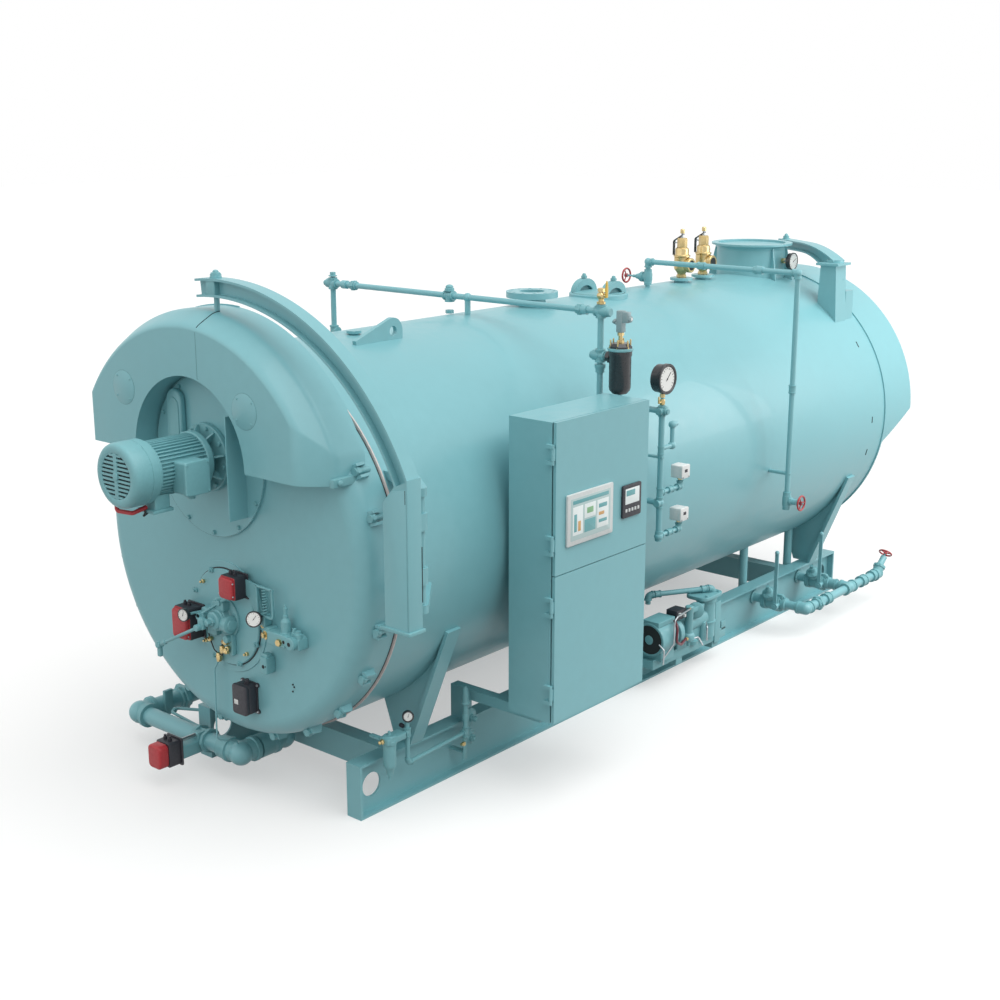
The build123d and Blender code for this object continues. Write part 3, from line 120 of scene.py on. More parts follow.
def rounded(corners, bend, steps=6):
    # path through the corners, each inner corner replaced by an arc of the bend radius
    corners = np.array(corners, float)
    path = [corners[:1]]
    for before, corner, after in zip(corners[:-2], corners[1:-1], corners[2:]):
        inward, outward = unit(before - corner), unit(after - corner)
        half = math.acos(np.clip(np.dot(inward, outward), -1, 1)) / 2
        reach = bend / math.tan(half)
        centre = corner + unit(inward + outward) * bend / math.sin(half)
        start, finish = corner + inward * reach - centre, corner + outward * reach - centre
        sweep = math.pi - 2 * half
        t = np.linspace(0, 1, steps + 1)[:, None]
        path.append(centre + (np.sin((1 - t) * sweep) * start + np.sin(t * sweep) * finish) / math.sin(sweep))
    return np.concatenate(path + [corners[-1:]])


def swept(path, radius, sides=14):
    # tube: a circle carried along the path, square to it, its first direction carried on from point to point
    path = np.array(path, float)
    along = np.gradient(path, axis=0)
    along /= np.linalg.norm(along, axis=1)[:, None]
    first = [crossAxes(along[0])[0]]
    for tangent in along[1:]:
        first.append(unit(first[-1] - np.dot(first[-1], tangent) * tangent))
    first = np.array(first)
    second = np.cross(along, first)
    angle = np.arange(sides) * 2 * np.pi / sides
    radii = np.broadcast_to(np.array(radius, float), (len(path),))[:, None, None]
    ring = np.cos(angle)[None, :, None] * first[:, None] + np.sin(angle)[None, :, None] * second[:, None]
    return closedRings(path[:, None] + radii * ring)


def carried(outline, path, side):
    # profile carried along a flat path: outline columns are (across, out); across is the fixed side direction
    path, outline, side = np.array(path, float), np.array(outline, float), unit(side)
    along = np.gradient(path, axis=0)
    along /= np.linalg.norm(along, axis=1)[:, None]
    out = np.cross(side, along)
    return closedRings(path[:, None] + outline[None, :, :1] * side + outline[None, :, 1:] * out[:, None])


def softRect(width, height, corner, steps=4):
    # closed rectangle outline about the origin with its four corners rounded
    angle = np.linspace(0, np.pi / 2, steps + 1)
    turns = [0, np.pi / 2, np.pi, 3 * np.pi / 2]
    signs = [(1, 1), (-1, 1), (-1, -1), (1, -1)]
    arcs = [np.stack([sx * (width / 2 - corner) + corner * np.cos(angle + turn),
                      sy * (height / 2 - corner) + corner * np.sin(angle + turn)], -1)
            for turn, (sx, sy) in zip(turns, signs)]
    return np.concatenate(arcs)


def slab(outline, centre, axis, depth, edge=2.0, up=None):
    # flat outline pushed along the axis: both ends step inwards on a quarter circle, so every edge is eased
    outline = np.array(outline, float)
    ahead, behind = np.roll(outline, -1, 0) - outline, outline - np.roll(outline, 1, 0)
    normal = np.stack([ahead[:, 1] + behind[:, 1], -ahead[:, 0] - behind[:, 0]], -1)
    normal /= np.maximum(np.linalg.norm(normal, axis=1)[:, None], 1e-9)
    turn = np.linspace(0, np.pi / 2, 4)
    inset = edge * (1 - np.sin(turn))
    level = edge * (1 - np.cos(turn))
    insets = np.concatenate([inset, inset[::-1]])
    levels = np.concatenate([level, depth - level[::-1]]) - depth / 2
    flat = outline[None] - insets[:, None, None] * normal[None]
    axis = unit(axis)
    first, second = crossAxes(axis)
    if up is not None:
        second = unit(np.array(up, float))
        first = np.cross(second, axis)
    rings = np.array(centre, float) + levels[:, None, None] * axis + flat[..., :1] * first + flat[..., 1:] * second
    return closedRings(rings)


def softBox(low, high, corner=6.0, edge=2.0, axis=upward):
    # box between two corners, drawn as a rounded rectangle pushed along the axis
    low, high = np.array(low, float), np.array(high, float)
    size, middle = high - low, (low + high) / 2
    axis = np.abs(unit(axis))
    first, second = crossAxes(axis)
    width, height = abs(np.dot(size, first)), abs(np.dot(size, second))
    corner = min(corner, 0.49 * min(width, height))
    edge = min(edge, 0.45 * min(corner if corner > 0.5 else 1, np.dot(size, axis)))
    return slab(softRect(width, height, max(corner, 0.6)), middle, axis, np.dot(size, axis), edge)


def repeated(shape, offsets):
    # the same small shape at every offset, stacked as one array
    points, faces = shape
    offsets = np.array(offsets, float).reshape(-1, 3)
    tiled = (points[None] + offsets[:, None]).reshape(-1, 3)
    jump = len(points)
    return tiled, [[i + k * jump for i in face] for k in range(len(offsets)) for face in faces]


def ringPoints(centre, axis, radius, count, start=0.0, end=360.0):
    # evenly spaced points on a circle, in degrees from the level direction
    full = abs(end - start) >= 359.9
    angle = np.radians(np.linspace(start, end, count + 1)[:-1] if full else np.linspace(start, end, count))
    first, second = crossAxes(axis)
    return np.array(centre, float) + radius * (np.cos(angle)[:, None] * first + np.sin(angle)[:, None] * second)


def hexHead(axis, radius, height, twist=0.0):
    # hexagon head on a round washer, at the origin and pointing along the axis
    head = turned([(radius * 0.93, 0.12 * height), (radius, 0.2 * height), (radius, 0.86 * height),
                   (radius * 0.86, height)], (0, 0, 0), axis, 6, twist)
    washer = turned([(radius * 1.22, 0), (radius * 1.22, 0.16 * height)], (0, 0, 0), axis, 16)
    return joined([washer, head])


def joined(shapes):
    # several shapes as one
    start, points, faces = 0, [], []
    for part, quads in shapes:
        points.append(part)
        faces += [[i + start for i in face] for face in quads]
        start += len(part)
    return np.concatenate(points), faces


def boltRing(centre, axis, radius, count, size, start=0.0, end=360.0):
    # hexagon heads standing on a circle
    return repeated(hexHead(axis, size, size * 1.1), ringPoints(centre, axis, radius, count, start, end))


def spotted(points, axis, size):
    # hexagon heads standing at given points
    return repeated(hexHead(axis, size, size * 1.1), points)


def elbow(corner, inward, outward, radius, reach=2.0, bulge=1.32):
    # screwed elbow: a tube on a quarter arc, thickened into a band at each mouth
    corner, inward, outward = np.array(corner, float), unit(inward), unit(outward)
    mouth = radius * reach
    path = rounded([corner + inward * mouth, corner, corner + outward * mouth], radius * reach * 0.72, 8)
    path = np.concatenate([path[:1], path[:1] - inward * radius * 0.45, path[:1] - inward * radius * 0.5,
                           path[1:-1], path[-1:] - outward * radius * 0.5, path[-1:] - outward * radius * 0.45,
                           path[-1:]])
    swell = np.full(len(path), bulge)
    swell[:2] = swell[-2:] = bulge + 0.2
    return swept(path, swell * radius, 20)


def tee(centre, axis, branch, radius, reach=1.9):
    # screwed tee: a banded barrel along the axis and a banded branch
    mouth, band = radius * reach, radius * 0.5
    rows = [(radius * 1.52, -mouth), (radius * 1.52, -mouth + band), (radius * 1.32, -mouth + band + 1),
            (radius * 1.32, mouth - band - 1), (radius * 1.52, mouth - band), (radius * 1.52, mouth)]
    arm = [(radius * 1.32, 0), (radius * 1.32, mouth - band - 1), (radius * 1.52, mouth - band), (radius * 1.52, mouth)]
    return joined([turned(rows, centre, axis, 22), turned(arm, centre, branch, 22)])


def union(centre, axis, radius, length=2.2):
    # pipe union: two round collars and a hexagon nut between them
    half = radius * length / 2
    collar = [(radius * 1.3, -half), (radius * 1.42, -half + 2), (radius * 1.42, half - 2), (radius * 1.3, half)]
    nut = [(radius * 1.66, -half * 0.45), (radius * 1.78, -half * 0.36), (radius * 1.78, half * 0.36),
           (radius * 1.66, half * 0.45)]
    return joined([turned(collar, centre, axis, 8), turned(nut, centre, axis, 6)])


def coupling(centre, axis, radius, length=3.0):
    # plain coupling: a sleeve with a thicker bead at each end
    half, bead = radius * length / 2, radius * 0.45
    rows = [(radius * 1.45, -half), (radius * 1.45, -half + bead), (radius * 1.3, -half + bead + 1),
            (radius * 1.3, half - bead - 1), (radius * 1.45, half - bead), (radius * 1.45, half)]
    return turned(rows, centre, axis, 22)


def linear(code):
    # sRGB hex to linear colour
    channels = [int(code[i:i + 2], 16) / 255 for i in (1, 3, 5)]
    return tuple(c / 12.92 if c <= 0.04045 else ((c + 0.055) / 1.055) ** 2.4 for c in channels) + (1.0,)


def addNode(tree, kind, inputs=None, **settings):
    # one node with its settings, values and links
    made = tree.nodes.new(kind)
    for name, value in settings.items():
        setattr(made, name, value)
    for name, value in (inputs or {}).items():
        if isinstance(value, bpy.types.NodeSocket):
            tree.links.new(value, made.inputs[name])
        else:
            made.inputs[name].default_value = value
    return made


def perMetre(millimetres):
    # texture scale for a feature of that size
    return 1000.0 / millimetres


def finish(name, colour, second, drift, roughness, grain, bump, metallic=0.0, coat=0.0, ior=1.5, speck=None):
    # surface of one real material: two colours drifting into each other over 'drift' mm, with a finer mottle,
    # roughness that varies between two values, and a fine grain bump of 'grain' mm
    made = bpy.data.materials.new(name)
    made.use_nodes = True
    tree = made.node_tree
    shader = tree.nodes["Principled BSDF"]
    where = addNode(tree, "ShaderNodeTexCoord").outputs["Object"]
    broad = addNode(tree, "ShaderNodeTexNoise", {"Vector": where, "Scale": perMetre(drift), "Detail": 3.0})
    fine = addNode(tree, "ShaderNodeTexNoise", {"Vector": where, "Scale": perMetre(drift / 14), "Detail": 4.0})
    blend = addNode(tree, "ShaderNodeMath", {0: broad.outputs["Fac"], 1: fine.outputs["Fac"]}, operation="MULTIPLY")
    spread = addNode(tree, "ShaderNodeMapRange", {"Value": blend.outputs[0], "From Min": 0.12, "From Max": 0.42})
    shade = addNode(tree, "ShaderNodeMix", {"Factor": spread.outputs[0], 6: linear(colour), 7: linear(second)},
                    data_type="RGBA")
    tint = shade.outputs[2]
    if speck:
        # speck: (colour, size mm, share) for dust, pits or rust spots
        spots = addNode(tree, "ShaderNodeTexNoise", {"Vector": where, "Scale": perMetre(speck[1]), "Detail": 6.0})
        mask = addNode(tree, "ShaderNodeMapRange", {"Value": spots.outputs["Fac"], "From Min": 0.68 - speck[2] * 0.3,
                                                    "From Max": 0.78 - speck[2] * 0.2})
        tint = addNode(tree, "ShaderNodeMix", {"Factor": mask.outputs[0], 6: tint, 7: linear(speck[0])},
                       data_type="RGBA").outputs[2]
    gloss = addNode(tree, "ShaderNodeMapRange", {"Value": fine.outputs["Fac"], "From Min": 0.3, "From Max": 0.7,
                                                 "To Min": roughness[0], "To Max": roughness[1]})
    skin = addNode(tree, "ShaderNodeTexNoise", {"Vector": where, "Scale": perMetre(grain), "Detail": 2.0})
    relief = addNode(tree, "ShaderNodeBump", {"Height": skin.outputs["Fac"], "Strength": 1.0,
                                              "Distance": bump / 1000})
    tree.links.new(tint, shader.inputs["Base Color"])
    tree.links.new(gloss.outputs[0], shader.inputs["Roughness"])
    tree.links.new(relief.outputs["Normal"], shader.inputs["Normal"])
    shader.inputs["Metallic"].default_value = metallic
    shader.inputs["Coat Weight"].default_value = coat
    if not metallic:
        shader.inputs["IOR"].default_value = ior
    return made


# Sprayed alkyd enamel on rolled plate: even teal, satin, with the faint orange peel of a spray gun (drawn coarse).
tealEnamel = finish("tealEnamelSprayed", "#7BB4BB", "#7FB8BF", 900, (0.36, 0.46), 26, 0.04, coat=0.10)
# The same enamel over sand-cast iron: a little duller, with the casting's pebbled skin showing through.
castEnamel = finish("tealEnamelOverCastIron", "#74ACB2", "#7AB2B8", 260, (0.40, 0.54), 7, 0.10, coat=0.05)
# Painted shade: a darker copy of the enamel for seams, gap rings and the hollows under the manway yokes, where shade
# falls.
shadedTeal = finish("tealEnamelPaintedShade", "#55868C", "#4C7B81", 120, (0.5, 0.62), 8, 0.06)
# Cast refractory: matt, sandy and pitted.
castRefractory = finish("castRefractory", "#A39A8E", "#857B70", 300, (0.85, 0.97), 6, 0.9, speck=("#5E564E", 18, 0.4))
# Boiler plate and rolled tubes, oxidised by firing: brown-grey scale with rust.
scaledSteel = finish("oxidisedBoilerSteel", "#8B837B", "#716861", 240, (0.5, 0.72), 5, 0.2, metallic=0.15,
                     speck=("#7A4A33", 30, 0.35))
# Cast and turned brass, slightly dulled.
turnedBrass = finish("turnedBrass", "#CDB98A", "#B8A270", 60, (0.24, 0.38), 3, 0.05, metallic=1.0)
# Moulded ABS covers: fine spark-eroded texture, low sheen.
redAbs = finish("redAbsMoulded", "#B8343A", "#A92C33", 160, (0.40, 0.50), 2.5, 0.04)
blackAbs = finish("blackAbsMoulded", "#2E2E36", "#27272E", 160, (0.42, 0.55), 2.5, 0.05)
whiteAbs = finish("whiteAbsMoulded", "#E4E6E4", "#D9DCDA", 160, (0.35, 0.45), 2.5, 0.03)
# Baked enamels on instruments and handwheels.
blackEnamel = finish("blackBakedEnamel", "#26292D", "#1F2226", 200, (0.25, 0.36), 9, 0.03, coat=0.2)
redEnamel = finish("redBakedEnamel", "#B03438", "#9C2B30", 120, (0.28, 0.40), 6, 0.05, coat=0.2)
# Screen surround: pale powder-coated aluminium.
paleBezel = finish("palePowderCoat", "#D5DAD9", "#C9CFCE", 200, (0.40, 0.52), 2.5, 0.05)
# Zinc-plated bolts and bright strip.
zincSteel = finish("zincPlatedSteel", "#B4B9BC", "#9EA4A8", 40, (0.25, 0.40), 3, 0.03, metallic=1.0)
# Woven gasket rope and moulded rubber in the joints.
gasketRope = finish("glassFibreRope", "#E6D9D6", "#D9C4C0", 30, (0.85, 0.95), 5, 0.6)
darkRubber = finish("mouldedRubber", "#33383A", "#2A2E30", 90, (0.6, 0.75), 4, 0.08)
# Dip-moulded vinyl grip.
yellowVinyl = finish("yellowVinylDipped", "#D9B23A", "#CBA12F", 60, (0.35, 0.45), 4, 0.05)
# Printed dial card behind a clear cover.
dialCard = finish("printedDialCard", "#EDEEEA", "#E6E7E3", 90, (0.5, 0.6), 4, 0.01, coat=1.0)
dialInk = finish("printedDialInk", "#1C1D1F", "#24262A", 40, (0.5, 0.6), 4, 0.01)
# Dark red enamel on rigid air tube.
maroonEnamel = finish("maroonEnamelTube", "#6E2A36", "#5F232E", 60, (0.35, 0.45), 5, 0.04, coat=0.1)
# Painted shade: near-black colour put in openings, bores, grooves, slots and gaps where shade falls.
deepShade = finish("unlitCavity", "#20292B", "#1A2123", 90, (0.8, 0.9), 6, 0.05)
# Die-cast aluminium conduit head.
castAluminium = finish("dieCastAluminium", "#8FA3A6", "#839699", 90, (0.42, 0.55), 4, 0.10, metallic=0.35)
# Lit display film behind clear plastic, in plain colours.
displayGrey = finish("displayGrey", "#B4CCCB", "#AFC8C7", 90, (0.3, 0.4), 4, 0.01, coat=0.5)
displayWhite = finish("displayWhite", "#E9F2F1", "#E4EDEC", 90, (0.3, 0.4), 4, 0.01, coat=0.5)
displayTeal = finish("displayTeal", "#5FA7AB", "#579EA3", 90, (0.3, 0.4), 4, 0.01, coat=0.5)
displayAmber = finish("displayAmber", "#D0A060", "#C89858", 90, (0.3, 0.4), 4, 0.01, coat=0.5)
displayGreen = finish("displayGreen", "#7FB583", "#77AD7B", 90, (0.3, 0.4), 4, 0.01, coat=0.5)
print("finishes made")

slotFinish = dict(teal_paint=tealEnamel, fire_brick=castRefractory, tube_steel=scaledSteel, brass=turnedBrass,
                  red_plastic=redAbs, black_plastic=blackAbs, black_enamel=blackEnamel, red_enamel=redEnamel,
                  white_plastic=whiteAbs, panel_bezel=paleBezel)
slotOfNode = dict(front_tube_sheet="tube_steel", rear_tube_sheet="tube_steel", furnace_tube="tube_steel",
                  head_refractory="fire_brick", safety_valves="brass", column_cock="brass",
                  burner_actuators="red_plastic", gas_actuator="red_plastic", junction_box="black_plastic",
                  stack_thermometer="black_enamel", level_control_right="black_enamel",
                  pressure_gauge="black_enamel", limit_switches="white_plastic",
                  operator_panel="panel_bezel", top_valve_wheel="red_enamel", drop_valve_wheel="red_enamel",
                  blowdown_wheel="red_enamel")
for name, cad in nodes.items():
    cad.data.materials.clear()
    cad.data.materials.append(slotFinish[slotOfNode.get(name, "teal_paint")])


def place(name, body, shapes, stands=(), crease=32.0):
    # shapes is a list of (shape, finish); the piece is one mesh in metres, smooth but for edges past the crease angle
    made = bpy.data.meshes.new(name)
    finishes = []
    start, points, faces, marks = 0, [], [], []
    for (part, quads), surface in shapes:
        if surface not in finishes:
            finishes.append(surface)
        points.append(part)
        faces += [[i + start for i in face] for face in quads]
        marks += [finishes.index(surface)] * len(quads)
        start += len(part)
    made.from_pydata((np.concatenate(points) / 1000 + drawingShift).tolist(), [], faces)
    for surface in finishes:
        made.materials.append(surface)
    made.polygons.foreach_set("material_index", marks)
    made.polygons.foreach_set("use_smooth", [True] * len(faces))
    built = bmesh.new()
    built.from_mesh(made)
    bmesh.ops.recalc_face_normals(built, faces=built.faces[:])
    built.to_mesh(made)
    built.free()
    made.set_sharp_from_angle(angle=math.radians(crease))
    piece = bpy.data.objects.new(name, made)
    bpy.context.scene.collection.objects.link(piece)
    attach(piece, body)
    if stands:
        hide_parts(*stands)
    return piece


# Fan motor: cowl with a slotted grille, finned frame, ribbed flange, terminal box, foot and a red lifting strap.
motor = dict(x=-90.0, z=1873.0, front=-3457.0, cowlEnd=-3307.0, frameEnd=-3007.0, flangeFront=-2925.0,
             cowlRadius=161.0, frameRadius=140.0, finDepth=13.0, fins=46, grilleRadius=112.0, slots=10, neckRadius=84.0,
             flangeRadius=175.0, box=(110.0, 150.0, 170.0), boxBack=62.0, boxDrop=29.0)


def fanMotor():
    m = motor
    axis, face = toRear, (m["x"], m["front"], m["z"])
    big, inner = m["cowlRadius"], m["grilleRadius"]
    cowl = turned([(inner, 14), (inner, 3), (inner + 6, 0), (big - 26, 0), (big - 12, 4), (big - 4, 12), (big, 26),
                   (big, 96), (big - 3, 98), (big - 3, 103), (big, 105), (big, 144), (big - 6, 150)], face, axis, 56)
    cavity = turned([(inner, 10), (inner, 14)], face, axis, 40)
    pitch = 2 * inner / (m["slots"] + 1)
    rise = (np.arange(m["slots"] + 1) - m["slots"] / 2) * pitch
    half = np.sqrt(np.maximum(inner ** 2 - rise ** 2, 900.0)) - 1
    slats = [softBox((m["x"] - w, m["front"] + 1.5, m["z"] + r - pitch * 0.27),
                     (m["x"] + w, m["front"] + 11, m["z"] + r + pitch * 0.27), 3, 1.2, toRear) for r,
             w in zip(rise, half)]
    post = softBox((m["x"] - 13, m["front"] + 1, m["z"] - inner), (m["x"] + 13, m["front"] + 11, m["z"] + inner), 3, 1,
                   toRear)
    hub = turned([(20, 6), (20, -2), (16, -4)], face, axis, 24)
    # frame outline: radius steps between fin tip and root as the angle runs round
    turnsAround = np.repeat(np.arange(m["fins"]), 4) + np.tile([0.0, 0.14, 0.44, 0.58], m["fins"])
    reach = m["frameRadius"] - np.tile([0.0, 0.0, 1.0, 1.0], m["fins"]) * m["finDepth"]
    reach = np.roll(reach, 1)
    angle = turnsAround * 2 * np.pi / m["fins"]
    outline = np.stack([reach * np.cos(angle), reach * np.sin(angle)], -1)
    middle = (m["cowlEnd"] + m["frameEnd"]) / 2
    fins = slab(outline, (m["x"], middle, m["z"]), axis, m["frameEnd"] - m["cowlEnd"] - 8, 0.8)
    backRing = turned([(146, 0), (150, 4), (150, 26), (146, 30)], (m["x"], m["cowlEnd"] - 12, m["z"]), axis, 48)
    endBell = turned([(142, 0), (147, 4), (147, 30), (140, 40), (110, 58), (m["neckRadius"], 70),
                      (m["neckRadius"], 114)],
                     (m["x"], m["frameEnd"] - 6, m["z"]), axis, 48)
    flange = turned([(m["flangeRadius"] - 4, 0), (m["flangeRadius"], 4), (m["flangeRadius"], 26),
                     (m["flangeRadius"] - 4, 30)],
                    (m["x"], m["flangeFront"], m["z"]), axis, 48)
    ribs = []
    for turn in np.radians(np.arange(8) * 45 + 12):
        out = vec(math.cos(turn), 0, math.sin(turn))
        side = np.cross(out, vec(0, 1, 0))
        # gusset: a right triangle from the flange rim down to the neck
        corners = np.array([(m["neckRadius"] - 6, 0), (m["flangeRadius"] - 8, 0), (m["flangeRadius"] - 8, -10),
                            (m["neckRadius"] + 24, -64),
                            (m["neckRadius"] - 6, -64)], float)
        base = vec(m["x"], m["flangeFront"], m["z"]) + corners[:, :1] * out + corners[:, 1:] * vec(0, 1, 0)
        ribs.append(closedRings(np.stack([base - side * 5, base + side * 5])))
    bolts = boltRing((m["x"], m["flangeFront"], m["z"]), toFront, m["flangeRadius"] - 20, 8, 11, 34.5, 394.5)
    w, d, h = m["box"]
    right = m["x"] + m["frameRadius"] - 25 + w
    near = m["frameEnd"] - m["boxBack"] - d
    boxZ = m["z"] - m["boxDrop"]
    boxBody = softBox((right - w, near + 6, boxZ - h / 2 + 5), (right - 26, near + d - 6, boxZ + h / 2 - 5), 12, 4,
                      toRight)
    boxLid = softBox((right - 27, near, boxZ - h / 2), (right, near + d, boxZ + h / 2), 14, 7, toRight)
    boxHub = turned([(24, 0), (24, 20), (19, 22), (19, 34)], (right - 60, near + d / 2, boxZ - h / 2 + 8), downward, 8)
    lidScrews = spotted([(right - 1, near + a, boxZ + b) for a in (14, d - 14) for b in (14 - h / 2, h / 2 - 14)],
                        toRight, 5)
    foot = softBox((m["x"] - 20, m["cowlEnd"] + 6, m["z"] - 186), (m["x"] + 86, m["cowlEnd"] + 96, m["z"] - 112), 8, 4,
                   upward)
    footPlate = softBox((m["x"] - 34, m["cowlEnd"] - 14, m["z"] - 200),
                        (m["x"] + 96, m["cowlEnd"] + 108, m["z"] - 184), 6, 3, upward)
    drip = turned([(52, 0), (52, 20), (44, 34), (26, 44), (12, 46)], (m["x"] + 62, m["frameEnd"] - 30, m["z"] - 96),
                  downward, 24)
    handle = swept(rounded([(m["x"] - 62, m["front"] + 40, m["z"] - 160), (m["x"] - 62, m["front"] + 40, m["z"] - 186),
                            (m["x"] + 34, m["front"] + 60, m["z"] - 186),
                            (m["x"] + 34, m["front"] + 140, m["z"] - 172)], 14), 11, 14)
    lead = swept(rounded([(m["x"] + 34, m["front"] + 136, m["z"] - 172), (m["x"] + 34, m["front"] + 230, m["z"] - 168),
                          (m["x"] + 34, m["cowlEnd"] + 60, m["z"] - 176)], 20), 6, 12)
    shapes = [(s, castEnamel) for s in [cowl, post, hub, fins, backRing, endBell, flange, bolts, boxBody, boxLid,
                                        boxHub, lidScrews,
                                        foot, footPlate, drip] + slats + ribs]
    shapes += [(cavity, deepShade), (handle, redAbs), (lead, darkRubber)]
    return place("fan_motor_dressed", "front_door", shapes, ["fan_motor"])


# Fan housing: a rolled hood round the motor's arch with a wide eased bevel, a plate seam, two access discs and an
# upstand.
hood = dict(front=-3025.0, bevelBack=-2906.0, back=-2720.0, x=-90.0, z=1600.0, radius=(949.0, 1015.0),
            left=(790.0, 856.0),
            right=(790.0, 936.0), foot=1870.0, archZ=1873.0, archRadius=425.0, upstand=26.0, seamX=13.5,
            seamLow=2292.0, seamWide=2.2,
            discs=((-585.0, 2186.0), (352.0, 2178.0)), discRadius=88.0, discThick=1.2, screw=6.0)
inlet = dict(x=-90.0, z=1873.0, front=-2895.0, boltCircle=393.0, bolts=12, boltSize=11.0, scoopX=-312.0,
             scoopLow=1900.0,
             scoopHigh=2196.0, scoopWide=118.0, scoopDeep=34.0)


def hoodSection(share):
    # closed loop in x and z: up the right side, over the rolled top, down the left side and back round the arch;
    # share blends the small front outline (0) into the full one (1)
    h = hood
    radius, left, right = (h[key][0] + share * (h[key][1] - h[key][0]) for key in ("radius", "left", "right"))
    roll = np.linspace(np.arccos(right / radius), np.arccos(-left / radius), 65)
    over = np.stack([h["x"] + radius * np.cos(roll), h["z"] + radius * np.sin(roll)], -1)
    turn = np.linspace(np.pi, 0, 41)
    arch = np.stack([h["x"] + h["archRadius"] * np.cos(turn), h["archZ"] + h["archRadius"] * np.sin(turn)], -1)
    arch[[0, -1], 1] = h["foot"]
    return np.concatenate([[(h["x"] + right, h["foot"])], over, [(h["x"] - left, h["foot"])], arch])


def hoodBody():
    h = hood
    deep = h["bevelBack"] - h["front"]
    t = np.linspace(0, 1, 9)
    # profile of the edge: share of the bevel against depth, both corners eased by a quadratic curve
    nose = np.stack([-0.30 * (1 - t) ** 2 + 0.34 * t ** 2, h["front"] + 0.34 * deep * t ** 2], -1)
    heel = np.stack([0.8 * (1 - t) ** 2 + 2 * t * (1 - t) + t ** 2,
                     h["bevelBack"] - 0.2 * deep * (1 - t) ** 2 + 34 * t ** 2], -1)
    profile = np.concatenate([nose, heel, [(1.0, h["back"])]])
    flat = np.array([hoodSection(share) for share in profile[:, 0]])
    rings = np.stack([flat[..., 0], np.broadcast_to(profile[:, 1:], flat.shape[:2]), flat[..., 1]], -1)
    shapes = [(closedRings(rings), tealEnamel)]
    # the plate seam is a painted shade line: near-black on the bevel, darker teal on the front face
    radius = h["radius"][0] + profile[:-1, 0] * (h["radius"][1] - h["radius"][0])
    crown = h["z"] + np.sqrt(radius ** 2 - (h["seamX"] - h["x"]) ** 2)
    seam = np.stack([h["seamX"] + 7 * profile[:-1, 0], profile[:-1, 1], crown], -1)
    shapes.append((swept(seam[4:], h["seamWide"], 8), deepShade))
    low = np.array([(h["seamX"], h["front"], h["seamLow"]), (h["seamX"], h["front"], crown[0])])
    shapes.append((swept(low, 1.1, 8), shadedTeal))
    # upstand on the rear edge of the left half: a strip carried down the rolled outline
    turn = np.linspace(np.pi / 2 - 0.08, np.arccos(-h["left"][1] / h["radius"][1]), 24)
    arc = np.stack([h["x"] + h["radius"][1] * np.cos(turn), np.full(24, h["back"] - 4),
                    h["z"] + h["radius"][1] * np.sin(turn)], -1)
    line = np.concatenate([arc, [[h["x"] - h["left"][1], h["back"] - 4, h["foot"]]]])
    shapes.append((carried([(-3, -6), (3, -6), (3, h["upstand"]), (-3, h["upstand"])], line, toFront), tealEnamel))
    for x, z in h["discs"]:
        cover = turned([(h["discRadius"], 0), (h["discRadius"], h["discThick"]),
                        (h["discRadius"] - 1.5, h["discThick"] + 0.8)],
                       (x, h["front"], z), toFront, 48)
        # painted shade ring in the gap round each cover
        gap = turned([(h["discRadius"] + 1.5, 0), (h["discRadius"] + 1.5, 0.4)], (x, h["front"], z), toFront, 48)
        screws = repeated(turned([(h["screw"], 0), (h["screw"], 2), (h["screw"] - 2.5, 4)],
                                 (0, h["front"] - h["discThick"], 0), toFront, 12),
                          ringPoints((x, 0, z), toFront, h["discRadius"] - 14, 4, 40, 400))
        shapes += [(cover, tealEnamel), (gap, shadedTeal), (screws, castEnamel)]
    # strap with a round bolt on the right flank, over the joint with the head
    flank = h["x"] + h["right"][1]
    shapes.append((softBox((flank - 4, -2950, 1872), (flank + 26, -2720, 1912), 6, 3), castEnamel))
    shapes.append((turned([(15, 0), (15, 8), (9, 15), (1, 18)], (flank + 26, -2912, 1892), toRight, 18), castEnamel))
    return shapes


def inletTrim():
    p = inlet
    centre = (p["x"], p["front"], p["z"])
    bolts = boltRing(centre, toFront, p["boltCircle"], p["bolts"], p["boltSize"], -28, 332)
    # scoop outline: straight sides closed by a half circle at the top
    half = p["scoopWide"] / 2
    arc = np.linspace(0, np.pi, 15)
    spring = p["scoopHigh"] - half - p["scoopLow"]
    outline = np.concatenate([[(half, 0)], np.stack([half * np.cos(arc), spring + half * np.sin(arc)], -1),
                              [(-half, 0)]])
    outer = slab(outline, (p["scoopX"], p["front"] - p["scoopDeep"] / 2, p["scoopLow"]), toFront, p["scoopDeep"], 10,
                 upward)
    inner = slab(outline * [0.72, 0.86], (p["scoopX"], p["front"] - p["scoopDeep"], p["scoopLow"]), toFront, 10, 4,
                 upward)
    rim = swept(ringPoints((p["x"], p["front"] + 2, p["z"]), toFront, 413, 73, 0, 360), 2.2, 8)
    return [(bolts, castEnamel), (outer, tealEnamel), (inner, castEnamel), (rim, darkRubber)]


fanMotor()
place("hood_dressed", "front_door", hoodBody(), ("fan_housing",))
place("inlet_trim", "front_door", inletTrim())
print("fan end dressed")


